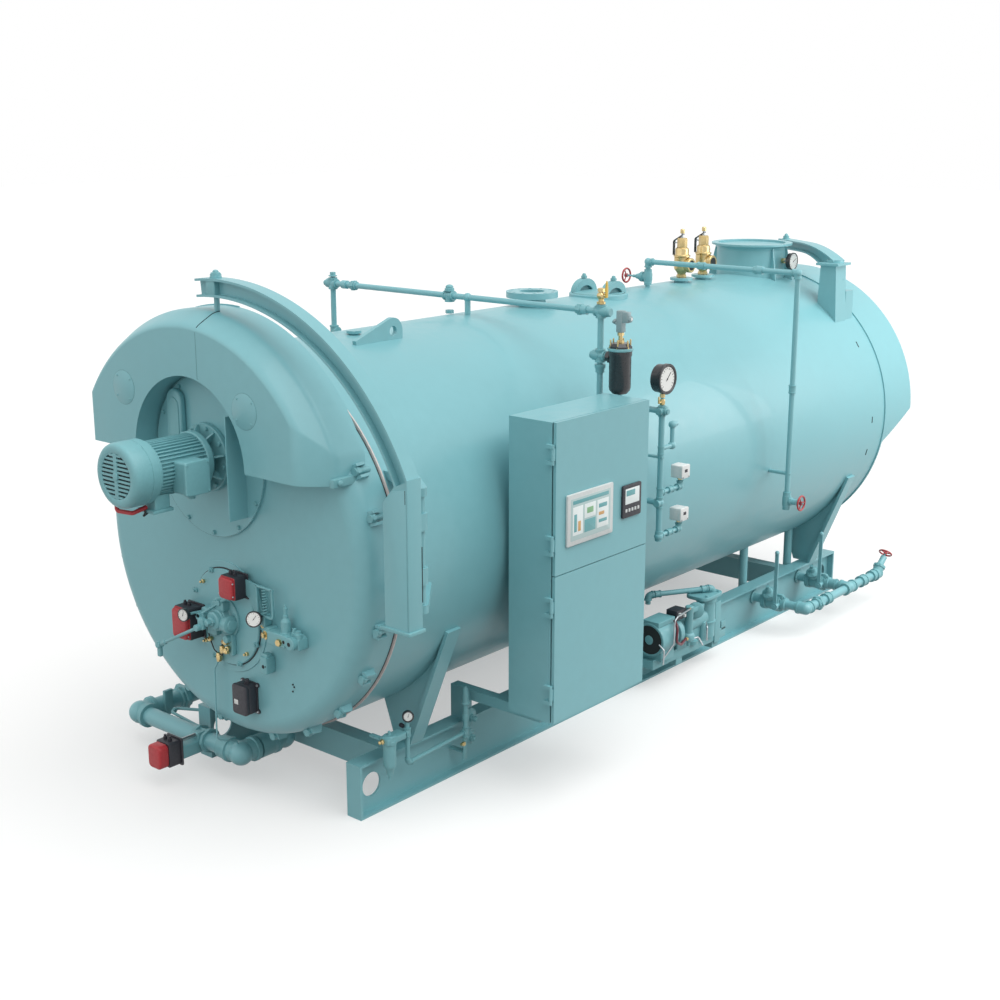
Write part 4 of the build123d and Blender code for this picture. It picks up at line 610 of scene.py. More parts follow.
def dialGauge(centre, axis, radius, depth, pointer=40.0, ticks=13, rim=0.16):
    # dial instrument: a black lathe-turned case with a rolled bezel, a printed card with ticks and a pointer
    centre, axis = np.array(centre, float), unit(axis)
    wall = radius * rim
    case = turned([(radius * 0.55, -depth), (radius * 0.92, -depth + 3), (radius * 0.94, -0.35 * depth),
                   (radius, -0.33 * depth),
                   (radius, -2), (radius - 2, 0), (radius - wall * 0.6, 0), (radius - wall, -0.12 * depth)], centre,
                  axis, 44)
    face = centre - axis * 0.10 * depth
    card = turned([(radius - wall, 0), (radius - wall, 0.6)], face, axis, 40)
    first, second = crossAxes(axis)
    marks = []
    for k, turn in enumerate(np.radians(np.linspace(225, -45, ticks))):
        out = math.cos(turn) * first + math.sin(turn) * second
        long = 0.18 if k % 3 == 0 else 0.10
        start = face + axis * 0.9 + out * (radius - wall) * (0.92 - long)
        marks.append(rodBetween(start, face + axis * 0.9 + out * (radius - wall) * 0.92, radius * 0.012 + 0.25, 6))
    turn = math.radians(pointer)
    out = math.cos(turn) * first + math.sin(turn) * second
    marks.append(rodBetween(face + axis * 1.6 - out * radius * 0.16, face + axis * 1.6 + out * radius * 0.56,
                            radius * 0.018 + 0.3, 6))
    marks.append(turned([(radius * 0.07, 0), (radius * 0.06, 2.4)], face, axis, 14))
    return [(case, blackEnamel), (card, dialCard), (joined(marks), dialInk)]


# Burner: bolted plate with its joint ring, the cast gas elbow in the middle and brass nozzles round it.
burner = dict(x=-15.0, z=1040.3, head=-2880.0, plateRadius=255.0, plateThick=20.0, ringRadius=296.0, studCircle=228.0)


def burnerFace():
    b = burner
    base = (b["x"], b["head"], b["z"])
    out = toFront
    front = b["head"] - b["plateThick"]

    def spot(x, z, ahead=0.0):
        return vec(b["x"] + x, front - ahead, b["z"] + z)

    plate = turned([(b["plateRadius"], 0), (b["plateRadius"], 15), (b["plateRadius"] - 5, 20), (0, 20)], base, out, 72)
    apron = turned([(b["ringRadius"], 0), (b["ringRadius"], 3), (b["ringRadius"] - 2, 5), (b["plateRadius"] + 6, 5)],
                   base, out, 72)
    joint = swept(ringPoints(vec(*base) + vec(0, -5, 0), out, b["plateRadius"] + 2, 97), 4.5, 8)
    shapes = [(plate, tealEnamel), (apron, tealEnamel), (joint, darkRubber)]
    # cast elbow: stepped bosses on the axis, a cross boss with a capped end, and a boss to the left
    cast = [turned([(112, 0), (112, 10), (106, 14), (74, 16), (66, 22), (62, 50), (58, 54), (58, 60), (48, 64),
                    (48, 84), (40, 90)], spot(0, 0), out, 40),
            turned([(26, 0), (26, 12), (20, 16), (20, 40), (12, 44)], spot(0, 0, 88), out, 6),
            turned([(40, 0), (40, 62), (46, 64), (46, 82), (38, 86), (30, 87), (28, 96), (20, 98)], spot(10, -14, 42),
                   (1, 0, 0.02), 28),
            softBox(spot(-118, -30, 62), spot(-48, 46, 6), 12, 6, toRear),
            softBox(spot(-30, 52, 58), spot(54, 100, 8), 10, 6, toRear),
            turned([(24, 0), (24, 34), (17, 38), (17, 52)], spot(-84, 10, 60), out, 8),
            softBox(spot(36, -190, 30), spot(78, -70, 0), 10, 5, toRear),
            turned([(20, 0), (20, 26), (12, 30)], spot(57, -95, 30), out, 20),
            softBox(spot(-96, -96, 46), spot(-22, -44, 0), 8, 4, toRear),
            boltRing(spot(0, 0, 10), out, 92, 8, 8, 22.5, 382.5),
            boltRing(spot(0, 0, 54), out, 50, 6, 5)]
    # linkage from the upper drive down to the elbow
    cast += [rodBetween(spot(100, 146, 40), spot(22, 96, 52), 8, 12),
             rodBetween(spot(22, 96, 52), spot(-84, 20, 96), 6, 12),
             turned([(15, -10), (15, 10)], spot(22, 96, 56), out, 16),
             turned([(13, -10), (13, 12)], spot(-84, 20, 100), out, 16)]
    clamps = ringPoints(spot(0, 0), out, b["plateRadius"] - 3, 8, 22.5, 382.5)
    cast += [repeated(softBox((-17, -9, -11), (17, 4, 11), 5, 3, toRear), clamps),
             spotted(clamps + vec(0, -9, 0), out, 8)]
    shapes += [(s, castEnamel) for s in cast]
    # brass: four studs on a circle, a small tree of unions and the pilot tube's adaptor
    studs = ringPoints(spot(0, 0), out, b["studCircle"], 4, 45, 405)
    brass = [repeated(turned([(11, 0), (11, 12), (7, 14), (7, 26), (4, 28)], (0, 0, 0), out, 6), studs)]
    tree = spot(34, -118, 40)
    brass += [union(tree, toRight, 9, 4.0), union(tree + vec(-24, 0, -44), upward, 9, 4.2),
              union(tree + vec(10, -6, -46), toRight, 8, 5.0),
              union(spot(-44, -222, 20), upward, 10, 4.6),
              turned([(12, 0), (12, 18), (8, 20), (8, 34)], tree + vec(26, 0, -24), (0.3, -0.9, 0), 8),
              union(spot(-118, -142, 14), (1, 0, 0.6), 8, 3.4)]
    shapes += [(s, turnedBrass) for s in brass]
    tubes = [swept(rounded([spot(-118, -142, 14), spot(-84, -196, 16), spot(-44, -205, 20)], 26), 3.2, 10),
             swept(rounded([tree, tree + vec(-24, 0, -8), tree + vec(-24, 0, -80), spot(-44, -205, 20)], 12), 3.2, 10),
             swept(rounded([spot(-118, -142, 14), spot(-150, -60, 10), spot(-118, 8, 40)], 30), 3.2, 10)]
    shapes += [(s, darkRubber) for s in tubes]
    # pilot gas tube straight down the head, ending just over the gas pipe
    pilot = swept(rounded([spot(-44, -232, 20), spot(-86, -300, 20), spot(-96, -700, 20), spot(-110, -760, -128),
                           spot(-110, -785, -128)], 40), 4.5, 12)
    shapes.append((pilot, tealEnamel))
    return place("burner_dressed", "front_door", shapes, ["burner"])


# Two electric drives: black base on a flange, red cover, and the damper rod with its clevis.
drives = dict(upper=((62.0, -3005.0, 1185.3), (174.0, -2900.0, 1305.3)),
              lower=((-312.5, -3020.0, 895.3), (-185.5, -2900.0, 1065.3)), split=0.22, flange=9.0,
              rodStart=(-60.0, -3046.0, 1012.0), rodEnd=(-412.0, -3028.0, 832.0))


def burnerDrives():
    d = drives
    shapes = []
    for low, high in (d["upper"], d["lower"]):
        low, high = vec(*low), vec(*high)
        split = low[1] + (high[1] - low[1]) * d["split"]
        cover = softBox((low[0] + 4, low[1], low[2] + 4), (high[0] - 4, split, high[2] - 4), 22, 15, toRear)
        base = softBox((low[0], split - 1, low[2]), (high[0], high[1] - d["flange"], high[2]), 9, 4, toRear)
        plate = softBox((low[0] + 2, high[1] - d["flange"], low[2] - 7), (high[0] + 7, high[1], high[2] + 7), 6, 2,
                        toRear)
        lip = softBox((low[0] + 1.5, split - 6, low[2] + 1.5), (high[0] - 1.5, split, high[2] - 1.5), 14, 2, toRear)
        glands = joined([turned([(11, 0), (11, 12), (8, 14), (8, 22)],
                                (low[0] + 30 + 34 * k, (split + high[1]) / 2, high[2] - 2), upward, 6) for k in (0, 1)])
        screws = spotted([(x, split - 14, z) for x in (low[0] + 2, high[0] - 2) for z in (low[2] + 26, high[2] - 26)],
                         toFront, 4)
        shapes += [(cover, redAbs), (lip, redAbs), (base, blackAbs), (plate, blackAbs), (glands, blackAbs),
                   (screws, zincSteel)]
    start, end = vec(*d["rodStart"]), vec(*d["rodEnd"])
    along = unit(end - start)
    rod = [rodBetween(start, end, 9, 16, 2), turned([(16, -16), (18, -12), (18, 12), (16, 16)], start, toRear, 20),
           turned([(15, -18), (17, -14), (17, 14), (15, 18)], end, toRear, 20),
           rodBetween(end - along * 64, end - along * 20, 14, 6, 2),
           rodBetween(start, start + vec(0, 70, 18), 12, 16),
           softBox(end + vec(-14, -9, -66), end + vec(14, 9, 6), 8, 4, toRear),
           softBox((-70, -3040, 1000), (-28, -3012, 1062), 10, 5, toRear)]
    shapes += [(s, castEnamel) for s in rod]
    shapes += dialGauge((-172, -3052, 1054), (0.18, -0.98, 0.05), 35, 30, 75)
    shapes.append((rodBetween((-168, -3024, 1053), (-150, -2902, 1050), 7, 12), castEnamel))
    return place("burner_drives_dressed", "front_door", shapes, ["burner_actuators"])


# Gas valve block with its linkage frame, regulator and pilot block.
gasBlock = dict(low=(331.0, -2960.0, 1004.3), high=(585.0, -2880.0, 1070.3), frameX=(268.0, 384.0),
                frameZ=(1128.0, 1280.0), frameY=-2926.0,
                regulatorX=470.0, regulatorY=-2920.0, pilotLow=(285.0, -2940.0, 820.3),
                pilotHigh=(335.0, -2880.0, 910.3))


def gasTrain():
    g = gasBlock
    low, high = vec(*g["low"]), vec(*g["high"])
    middle = (low[2] + high[2]) / 2
    front = low[1]
    cast = [softBox(low + vec(0, 14, 4), high - vec(0, 0, 4), 10, 5, toRight),
            softBox(low + vec(40, 0, 0), high - vec(70, 0, -2), 12, 6, toRear),
            softBox((low[0] - 6, front + 20, low[2] - 4), (low[0] + 34, high[1], high[2] + 4), 8, 4, toRear),
            turned([(30, 0), (30, 70), (34, 74), (34, 92), (28, 96)], (high[0] - 34, high[1] - 2, middle + 8), toFront,
                   24),
            turned([(16, 0), (16, 20), (11, 24), (11, 42), (7, 44)], (high[0] - 58, front + 44, high[2] - 6), upward,
                   16),
            turned([(20, 0), (20, 24), (13, 28), (13, 40)], (high[0] - 20, front + 34, high[2] - 6), upward, 20),
            spotted([(low[0] + 14, front + 20, low[2] + 10), (low[0] + 14, front + 20, high[2] - 10),
                     (high[0] - 84, front, low[2] + 12)], toFront, 6)]
    x, y = g["regulatorX"], g["regulatorY"]
    cast += [turned([(30, 0), (30, 8), (25, 12), (25, 64), (19, 72), (13, 80), (13, 96), (9, 98), (9, 120), (12, 122),
                     (12, 132), (6, 136), (6, 145)], (x, y, high[2] - 2), upward, 26),
             turned([(28, 0), (28, 10)], (x, y, high[2] + 10), upward, 6)]
    # linkage frame: square bar bent round three sides, with a spring between its ends
    xs, zs = g["frameX"], g["frameZ"]
    bar = softRect(12, 12, 3, 2)
    cast.append(carried(bar, rounded([(xs[0], g["frameY"], zs[1]), (xs[0] + 4, g["frameY"], zs[0]),
                                      (xs[1], g["frameY"], zs[0] - 4), (xs[1] - 2, g["frameY"], zs[1] - 4)], 14),
                        toRear))
    cast.append(carried(bar, [(xs[0] - 8, g["frameY"], zs[1] - 4), (xs[1] + 6, g["frameY"], zs[1] - 8)], toRear))
    turn = np.linspace(0, 2 * np.pi * 9, 110)
    spring = np.stack([(xs[0] + xs[1]) / 2 + 13 * np.cos(turn), g["frameY"] + 13 * np.sin(turn),
                       np.linspace(zs[0] + 8, zs[1] - 14, 110)], -1)
    cast.append(swept(spring, 2.6, 8))
    plateOutline = np.array([(0, 0), (92, -10), (120, -150), (70, -170), (30, -96), (0, -80)], float)[::-1]
    cast.append(slab(plateOutline, (168, g["frameY"] + 14, zs[1] + 4), toFront, 8, 2, upward))
    cast.append(softBox((xs[0] + 10, g["frameY"] - 6, zs[0] - 60), (xs[0] + 56, -2881, zs[0] + 4), 8, 4, toRear))
    # pilot block with a round nose
    pLow, pHigh = vec(*g["pilotLow"]), vec(*g["pilotHigh"])
    cast += [softBox(pLow, pHigh, 9, 5, toRear), softBox(pLow + vec(6, 10, 60), pHigh + vec(-6, -14, 16), 8, 4, toRear)]
    shapes = [(s, castEnamel) for s in cast]
    holes = [turned([(11, 0), (11, 0.8)], (high[0] - 34, high[1] - 98, middle + 8), toFront, 18),
             turned([(9, 0), (9, 0.8)], (high[0] - 92, front, middle + 2), toFront, 16),
             turned([(10, 0), (10, 0.8)], (pLow[0] + 25, pLow[1], pLow[2] + 40), toFront, 16),
             turned([(4, 0), (4, 0.8)], (pHigh[0] - 8, pLow[1], pLow[2] + 44), toFront, 10)]
    shapes += [(s, deepShade) for s in holes]
    brass = [turned([(24, 0), (24, 8), (15, 10), (15, 22), (8, 24)], (low[0] + 10, front + 22, middle),
                    (-0.25, -0.97, 0), 20),
             turned([(19, 0), (19, 14), (16, 17)], (low[0] + 132, front + 1, middle - 6), toFront, 6),
             union((low[0] - 30, front + 40, middle + 34), toRight, 8, 3.2)]
    shapes += [(s, turnedBrass) for s in brass]
    shapes += dialGauge((296, -2978, 1118), (0.5, -0.82, 0.26), 41, 34, 55)
    shapes.append((rodBetween((292, -2962, 1112), (286, -2924, 1096), 8, 12), castEnamel))
    return place("gas_train_dressed", "front_door", shapes, ["burner_gas_block"])


# Black junction box on an eared plate, with a bare label spot.
junction = dict(low=(82.5, -2963.0, 562.8), high=(189.5, -2890.0, 721.8), plate=10.0, label=(30.0, 26.0))


def junctionBox():
    j = junction
    low, high = vec(*j["low"]), vec(*j["high"])
    back = high[1] + j["plate"]
    body = softBox(low + vec(0, 26, 0), high, 16, 3, toRear)
    lid = softBox(low + vec(-1.5, 0, -1.5), vec(high[0] + 1.5, low[1] + 27, high[2] + 1.5), 18, 9, toRear)
    plate = softBox((low[0] - 4, high[1], low[2] - 4), (high[0] + 4, back, high[2] + 4), 6, 2, toRear)
    corners = [(x, high[1] + 2, z) for x in (low[0] - 4, high[0] + 4) for z in (low[2] + 8, high[2] - 8)]
    ears = repeated(turned([(13, 0), (13, 7)], (0, 0, 0), toRear, 20), corners)
    bolts = spotted(corners, toFront, 6)
    knob = turned([(16, 0), (16, 12), (11, 14), (11, 26)],
                  ((low[0] + high[0]) / 2 + 10, (low[1] + high[1]) / 2 + 14, high[2] - 2), upward, 8)
    width, height = j["label"]
    spot = vec(low[0] + 32, low[1] - 0.4, (low[2] + high[2]) / 2 - 14)
    label = softBox(spot - vec(width / 2, 0, height / 2), spot + vec(width / 2, 1.2, height / 2), 2, 0.3, toRear)
    shapes = [(body, blackAbs), (lid, blackAbs), (plate, blackAbs), (ears, blackAbs), (knob, blackAbs),
              (bolts, zincSteel), (label, whiteAbs)]
    return place("junction_box_dressed", "front_door", shapes, ["junction_box"])


# Closing lugs and bolts round the front head's rim, its gasket, and small bolts on the face.
headRim = dict(radius=shell["radius"], z=shell["axisHeight"], lugFront=-2822.0, lugBack=-2718.0, lugWide=58.0,
               lugRise=30.0, angles=(-150, -134, -118, -102, -78, -62, -46, -30, -14, 18, 31, 162, 178, 194),
               boltRadius=15.0,
               sealOuter=1001.6, sealInner=990.0, sealBack=12.0, sealWide=5.0,
               holes=((461.0, 786.0), (459.0, 749.0), (470.0, 775.0)))


def headLugs():
    h = headRim
    shapes = []
    for turn in np.radians(h["angles"]):
        out, side = vec(math.cos(turn), 0, math.sin(turn)), vec(-math.sin(turn), 0, math.cos(turn))
        root = vec(0, 0, h["z"]) + out * (h["radius"] - 6)
        # lug outline across the rim: a block with two cheeks that hold the bolt
        for offset in (-1, 1):
            cheek = root + side * offset * h["lugWide"] / 2
            outline = np.array([(0, h["lugFront"] + 14), (h["lugRise"] + 6, h["lugFront"] + 22),
                                (h["lugRise"] + 12, h["lugBack"] - 34), (0, h["lugBack"] - 10)], float)
            flat = cheek + outline[:, :1] * out + outline[:, 1:] * vec(0, 1, 0)
            shapes.append((closedRings(np.stack([flat - side * 7, flat + side * 7])), tealEnamel))
        seat = root + out * (h["lugRise"] * 0.62)
        shapes.append((turned([(20, 0), (20, 12)], seat + vec(0, h["lugFront"] + 6, 0), toRear, 20), castEnamel))
        shapes.append((turned([(24, 0), (24, 20), (20, 24)], seat + vec(0, h["lugFront"] + 14, 0), toRear, 6),
                       castEnamel))
        shapes.append((rodBetween(seat + vec(0, h["lugFront"] + 30, 0), seat + vec(0, h["lugBack"], 0),
                                  h["boltRadius"], 18, 3), castEnamel))
    edge = shell["frontJoint"]
    shapes.append((turned([(h["sealOuter"], 0), (h["sealOuter"], h["sealWide"]), (h["sealInner"], h["sealWide"]),
                           (h["sealInner"], 0)],
                          (0, edge - h["sealBack"], h["z"]), toRear, 120), darkRubber))
    shapes.append((repeated(turned([(5, 0), (5, 3)], (0, 0, 0), toFront, 10),
                            [(x, burner["head"], z) for x, z in h["holes"]]), deepShade))
    return place("head_lugs", "front_door", shapes)


# Gasket rope in the joint between the shell and the head.
rope = dict(inner=985.0, shoulder=1004.0, outer=1011.0, front=0.4, back=10.5, ease=1.5, ahead=4.6)


def jointRope():
    r = rope
    profile = [(r["shoulder"], r["front"]), (r["outer"], 2), (r["outer"], r["back"] - r["ease"]),
               (r["shoulder"], r["back"]),
               (r["inner"], r["back"]), (r["inner"], r["front"])]
    ring = turnedRing(profile, (0, shell["frontJoint"] - r["ahead"], headRim["z"]), toRear, 120)
    return place("joint_rope", "boiler", [(ring, gasketRope)])


burnerFace()
burnerDrives()
gasTrain()
junctionBox()
headLugs()
jointRope()
print("burner end dressed")

# Safety valves: brass pop valves with a hexagon foot, waisted body, bonnet, cap, side outlet and a black test lever.
safety = dict(places=(1205.0, 1475.0), foot=2436.0, outletZ=2523.0, outletEnd=84.0, bore=35.0, leverX=-68.0,
              leverWide=22.0,
              strapLow=2588.0, strapHigh=2684.0, stemZ=2730.0, pinZ=2672.0)


def safetyValves():
    s = safety
    up = upward
    shapes = []
    for y in s["places"]:
        base = (0, y, s["foot"])
        brass = [turned([(29, 0), (34, 2), (34, 19), (29, 21)], base, up, 6),
                 turned([(27, 18), (28, 26), (38, 42), (50, 56), (53, 64), (53, 138), (50, 142), (50, 144), (58, 145),
                         (58, 153), (50, 154),
                         (47, 160), (47, 190), (43, 201), (36, 206)], base, up, 36),
                 turned([(31, 203), (35, 207), (35, 262), (30, 271)], base, up, 6),
                 turned([(12, 300), (16, 303), (16, 324), (11, 331), (2, 332)], base, up, 20),
                 turned([(40, 0), (42, 50), (50, 58), (50, s["outletEnd"] - 4), (46, s["outletEnd"]),
                         (s["bore"], s["outletEnd"])], (0, y, s["outletZ"]), toRight, 30)]
        shapes += [(b, turnedBrass) for b in brass]
        shapes.append((turned([(9, 268), (9, 303)], base, up, 14), zincSteel))
        shapes.append((turned([(s["bore"], 0), (s["bore"], 0.6)], (s["outletEnd"] - 0.2, y, s["outletZ"]), toRight,
                              26), deepShade))
        # lever strap: upright beside the bonnet, then slanting over to the stem
        wide = s["leverWide"] / 2
        strap = rounded([(s["leverX"], y, s["strapLow"]), (s["leverX"], y, s["strapHigh"]), (8, y, s["stemZ"])], 16)
        shapes.append((carried([(-wide, -3), (wide, -3), (wide, 3), (-wide, 3)], strap, toRear), blackEnamel))
        shapes.append((rodBetween((s["leverX"] - 5, y, s["pinZ"]), (-20, y, s["pinZ"]), 5, 12), zincSteel))
    return place("safety_valves_dressed", "boiler", shapes, ("safety_valves",))


# Manway: low ring and dished cover on the shell, held by two heavy arched yokes with domed studs.
manway = dict(y=245.0, neck=2360.0, frameTop=2420.0, coverTop=2424.0, radius=190.0, coverRadius=168.0,
              yokes=(-118.0, 118.0), half=92.0, rise=62.0, wide=40.0,
              thick=44.0, studTop=2504.0)


def manwayFrame():
    m = manway
    up, base = upward, (0, m["y"], 0)
    top = m["frameTop"]
    shapes = [(turned([(m["radius"], m["neck"]), (m["radius"], top - 6), (m["radius"] - 6, top),
                       (m["coverRadius"] + 4, top)], base, up, 64), tealEnamel),
              # painted shade ring in the gap round the cover
              (turned([(m["coverRadius"] + 4, top - 3), (m["coverRadius"] + 4, top + 0.5)], base, up, 60), deepShade),
              (turned([(m["coverRadius"], top), (m["coverRadius"] - 5, m["coverTop"]), (90, m["coverTop"] + 4),
                       (8, m["coverTop"] + 5)], base, up, 60), castEnamel)]
    turn = np.linspace(0, np.pi, 25)
    half = m["wide"] / 2
    bar = np.array([(-half, -m["thick"] / 2), (half, -m["thick"] / 2), (half, m["thick"] / 2), (-half, m["thick"] / 2)])
    for x in m["yokes"]:
        arch = np.stack([np.full(25, x), m["y"] + m["half"] * np.cos(turn),
                         m["coverTop"] - 6 + m["rise"] * np.sin(turn)], -1)
        shapes.append((carried(bar, arch, toRight), castEnamel))
        # painted shade: a dark teal sheet across the hollow under each yoke's arch
        shapes.append((slab(softRect(2 * m["half"] - 40, 2 * m["rise"] - 34, 40, 6), (x, m["y"], m["coverTop"] - 6),
                            toRight, 4, 1, upward), shadedTeal))
        shapes.append((turned([(20, 0), (20, 14)], (x, m["y"], m["studTop"]), up, 6), castEnamel))
        shapes.append((turned([(13, 13), (13, 22), (9, 29), (1, 31)], (x, m["y"], m["studTop"]), up, 16), castEnamel))
    return place("manway_dressed", "boiler", shapes, ("manway",))


# Steam header and water columns: screwed crosses, unions and plugs over the plain pipes.
header = dict(y=-1030.0, z=2505.0, pipe=19.0, unions=(-939.0, 822.0), crossX=-141.0, rightX=961.0, leftX=-1127.0,
              branchZ=2265.0,
              rightLow=1850.0, leftLow=1180.0)


def columnFittings():
    h = header
    y, z, r = h["y"], h["z"], h["pipe"]
    up, along = upward, toRight
    shapes = [union((x, y, z), along, r, 2.6) for x in h["unions"]]
    # cross on the header: domed plug above, bush and nipple to the shell below
    shapes += [tee((h["crossX"], y, z), along, downward, r),
               turned([(r * 1.5, 26), (r * 1.5, 42), (r * 1.2, 44), (r * 1.2, 54), (r * 0.8, 62), (2, 65)],
                      (h["crossX"], y, z), up, 24),
               turned([(r * 1.35, -104), (r * 1.35, -84)], (h["crossX"], y, z), up, 6)]
    # column heads
    shapes += [tee((h["rightX"], y, z), up, toLeft, r),
               turned([(r * 1.5, 0), (r * 1.5, 46), (r * 1.36, 48), (r * 1.36, 60), (r * 1.1, 66)],
                      (h["rightX"], y, z), along, 24),
               tee((h["leftX"], y, z), up, toRight, r),
               turned([(r * 1.5, 0), (r * 1.5, 46), (r * 0.9, 48), (r * 0.9, 70)], (h["leftX"], y, z), toLeft, 24),
               turned([(r * 1.5, 44), (r * 1.5, 50), (r, 52), (r, 70)], (h["leftX"], y, z), up, 6)]
    # right column: cross to the level chamber with a plug on the far side, reducer under it, and a capped foot
    shapes += [tee((h["rightX"], y, h["branchZ"]), up, along, r),
               turned([(r * 1.5, 0), (r * 1.5, 44), (r * 1.1, 46), (r * 1.1, 60)], (h["rightX"], y, h["branchZ"]),
                      toLeft, 20),
               turned([(r * 1.6, 0), (r * 1.6, -16), (r * 1.3, -26), (r * 1.3, -44), (r * 1.1, -46)],
                      (h["rightX"], y, h["branchZ"] - 48), up, 24),
               coupling((h["rightX"], y, h["rightLow"] + 70), up, r, 3.0),
               coupling((h["leftX"], y, h["leftLow"] + 70), up, r, 3.0),
               tee((h["leftX"], y, h["branchZ"] - 60), up, along, r), tee((h["leftX"], y, 1420), up, along, r)]
    place("column_fittings", "boiler", [(s, castEnamel) for s in shapes])


# Level control: black chamber under a bevelled cover and a rim plate on brass studs, brass stem and a slender conduit
# head.
level = dict(x=1095.0, y=-1030.0, low=2068.0, top=2340.0, radius=64.0, studs=6, stem=12.0, headLow=2404.0,
             headHigh=2520.0, headHalf=20.0,
             branchZ=2265.0, columnX=961.0)


def levelControl():
    v = level
    base, up = (v["x"], v["y"], 0), upward
    bottom, top, r = v["low"], v["top"], v["radius"]
    shapes = [(turned([(14, bottom), (40, bottom + 4), (r - 8, bottom + 22), (r - 4, bottom + 40), (r - 4, top - 66),
                       (r, top - 58), (r, top - 34)], base, up, 36), blackEnamel),
              (turned([(r + 4, top - 35), (r + 6, top - 32), (r + 6, top - 22), (r + 4, top - 20)], base, up, 36),
               castEnamel),
              (turned([(r, top - 21), (r, top - 10), (r - 16, top + 6), (20, top + 8)], base, up, 8, 0.39),
               blackEnamel),
              (turned([(v["stem"], top), (v["stem"], v["headLow"] + 4)], base, up, 20), turnedBrass),
              (turned([(20, top + 6), (20, top + 18), (15, top + 22)], base, up, 6), turnedBrass),
              (turned([(18, v["headLow"] - 18), (18, v["headLow"] - 2)], base, up, 6), turnedBrass)]
    ring = ringPoints((v["x"], v["y"], top - 22), up, r - 9, v["studs"], 20, 380)
    stud = turned([(8, 0), (8, 10), (4.5, 12), (4.5, 46), (3, 48)], (0, 0, 0), up, 12)
    shapes.append((repeated(stud, ring), turnedBrass))
    low, high, half = v["headLow"], v["headHigh"], v["headHalf"]
    shapes.append((softBox((v["x"] - half, v["y"] - half, low), (v["x"] + half, v["y"] + half, high), 7, 4),
                   castAluminium))
    shapes.append((softBox((v["x"] + half - 6, v["y"] - half + 2, high - 62),
                           (v["x"] + half + 36, v["y"] + half - 2, high - 4), 7, 4), castAluminium))
    shapes.append((turned([(17, 0), (17, 12), (13, 15)], (v["x"] + half + 34, v["y"], high - 40), toRight, 20),
                   castAluminium))
    shapes.append((turned([(10, 0), (10, 18), (14, 20), (14, 32)], (v["x"] - half, v["y"], low + 40), (-0.8, 0, 0.6),
                          16), castAluminium))
    shapes.append((turned([(8, 0), (8, 2)], (v["x"] + half + 49, v["y"], high - 40), toRight, 14), whiteAbs))
    shapes.append((rodBetween((v["columnX"] + 20, v["y"], v["branchZ"]), (v["x"] - 30, v["y"], v["branchZ"]), 20, 20),
                   castEnamel))
    shapes.append((union((v["columnX"] + 70, v["y"], v["branchZ"]), toRight, 20, 2.4), blackEnamel))
    shapes.append((turned([(11, 0), (11, -26), (7, -28), (7, -60)], (v["x"], v["y"], bottom + 2), up, 14), castEnamel))
    return place("level_control_dressed", "boiler", shapes, ("level_control_right",))


# Column cock: brass body with a ball and an upright pointed yellow handle.
cock = dict(x=961.0, y=-1030.0, low=2545.0, ball=2590.0)


def columnCock():
    c = cock
    base, up = (c["x"], c["y"], c["low"]), upward
    shapes = [(turned([(24, 0), (24, 12), (15, 14), (15, 26), (22, 34), (25, 44), (22, 55), (15, 62), (15, 70)], base,
                      up, 24), turnedBrass),
              (turned([(20, 66), (20, 82), (15, 86)], base, up, 6), turnedBrass),
              (turned([(10, 0), (10, 34), (6, 36)], (c["x"], c["y"], c["ball"]), toRight, 14), turnedBrass)]
    grip = np.array([(-10, -8), (10, -8), (12, 40), (7, 74), (0, 84), (-7, 74), (-12, 40)], float)
    shapes.append((slab(grip, (c["x"] + 36, c["y"], c["ball"] - 2), toRight, 7, 2, upward), yellowVinyl))
    return place("column_cock_dressed", "boiler", shapes, ("column_cock",))


safetyValves()
manwayFrame()
columnFittings()
levelControl()
columnCock()
print("top fittings dressed")

# Gauge line: big dial gauge, banded crosses and elbows over the manifold, and two limit switches.
gaugeLine = dict(x=1150.0, y=-697.0, top=1931.0, low=1400.0, foot=1203.0, pipe=14.0, gaugeZ=2114.0, gaugeRadius=86.0,
                 gaugeFront=1186.0, gaugeDeep=70.0,
                 stemLow=1945.0, switches=(1549.0, 1296.0), switchY=-492.0, switchHalf=40.0, barRoot=960.0,
                 barZ=1660.0, barThick=12.0)


def gaugePiece():
    g = gaugeLine
    shapes = dialGauge((g["gaugeFront"], g["y"], g["gaugeZ"]), toRight, g["gaugeRadius"], g["gaugeDeep"], 48, 17, 0.2)
    base, up = (g["x"], g["y"], 0), upward
    low, high = g["stemLow"] - 12, g["gaugeZ"] - g["gaugeRadius"] + 6
    shapes += [(turned([(8.5, low), (8.5, high)], base, up, 16), turnedBrass),
               (turned([(15, high - 26), (15, high - 6)], base, up, 6), turnedBrass),
               (turned([(14, low + 34), (16, low + 38), (16, low + 62), (14, low + 66)], base, up, 18), turnedBrass),
               (turned([(7, 0), (7, 30), (4, 32)], (g["x"], g["y"], low + 50), toFront, 12), turnedBrass),
               (softBox((g["x"] - 4, g["y"] - 40, low + 44), (g["x"] + 4, g["y"] - 30, low + 84), 3, 1), turnedBrass)]
    return place("pressure_gauge_dressed", "boiler", shapes, ("pressure_gauge",))


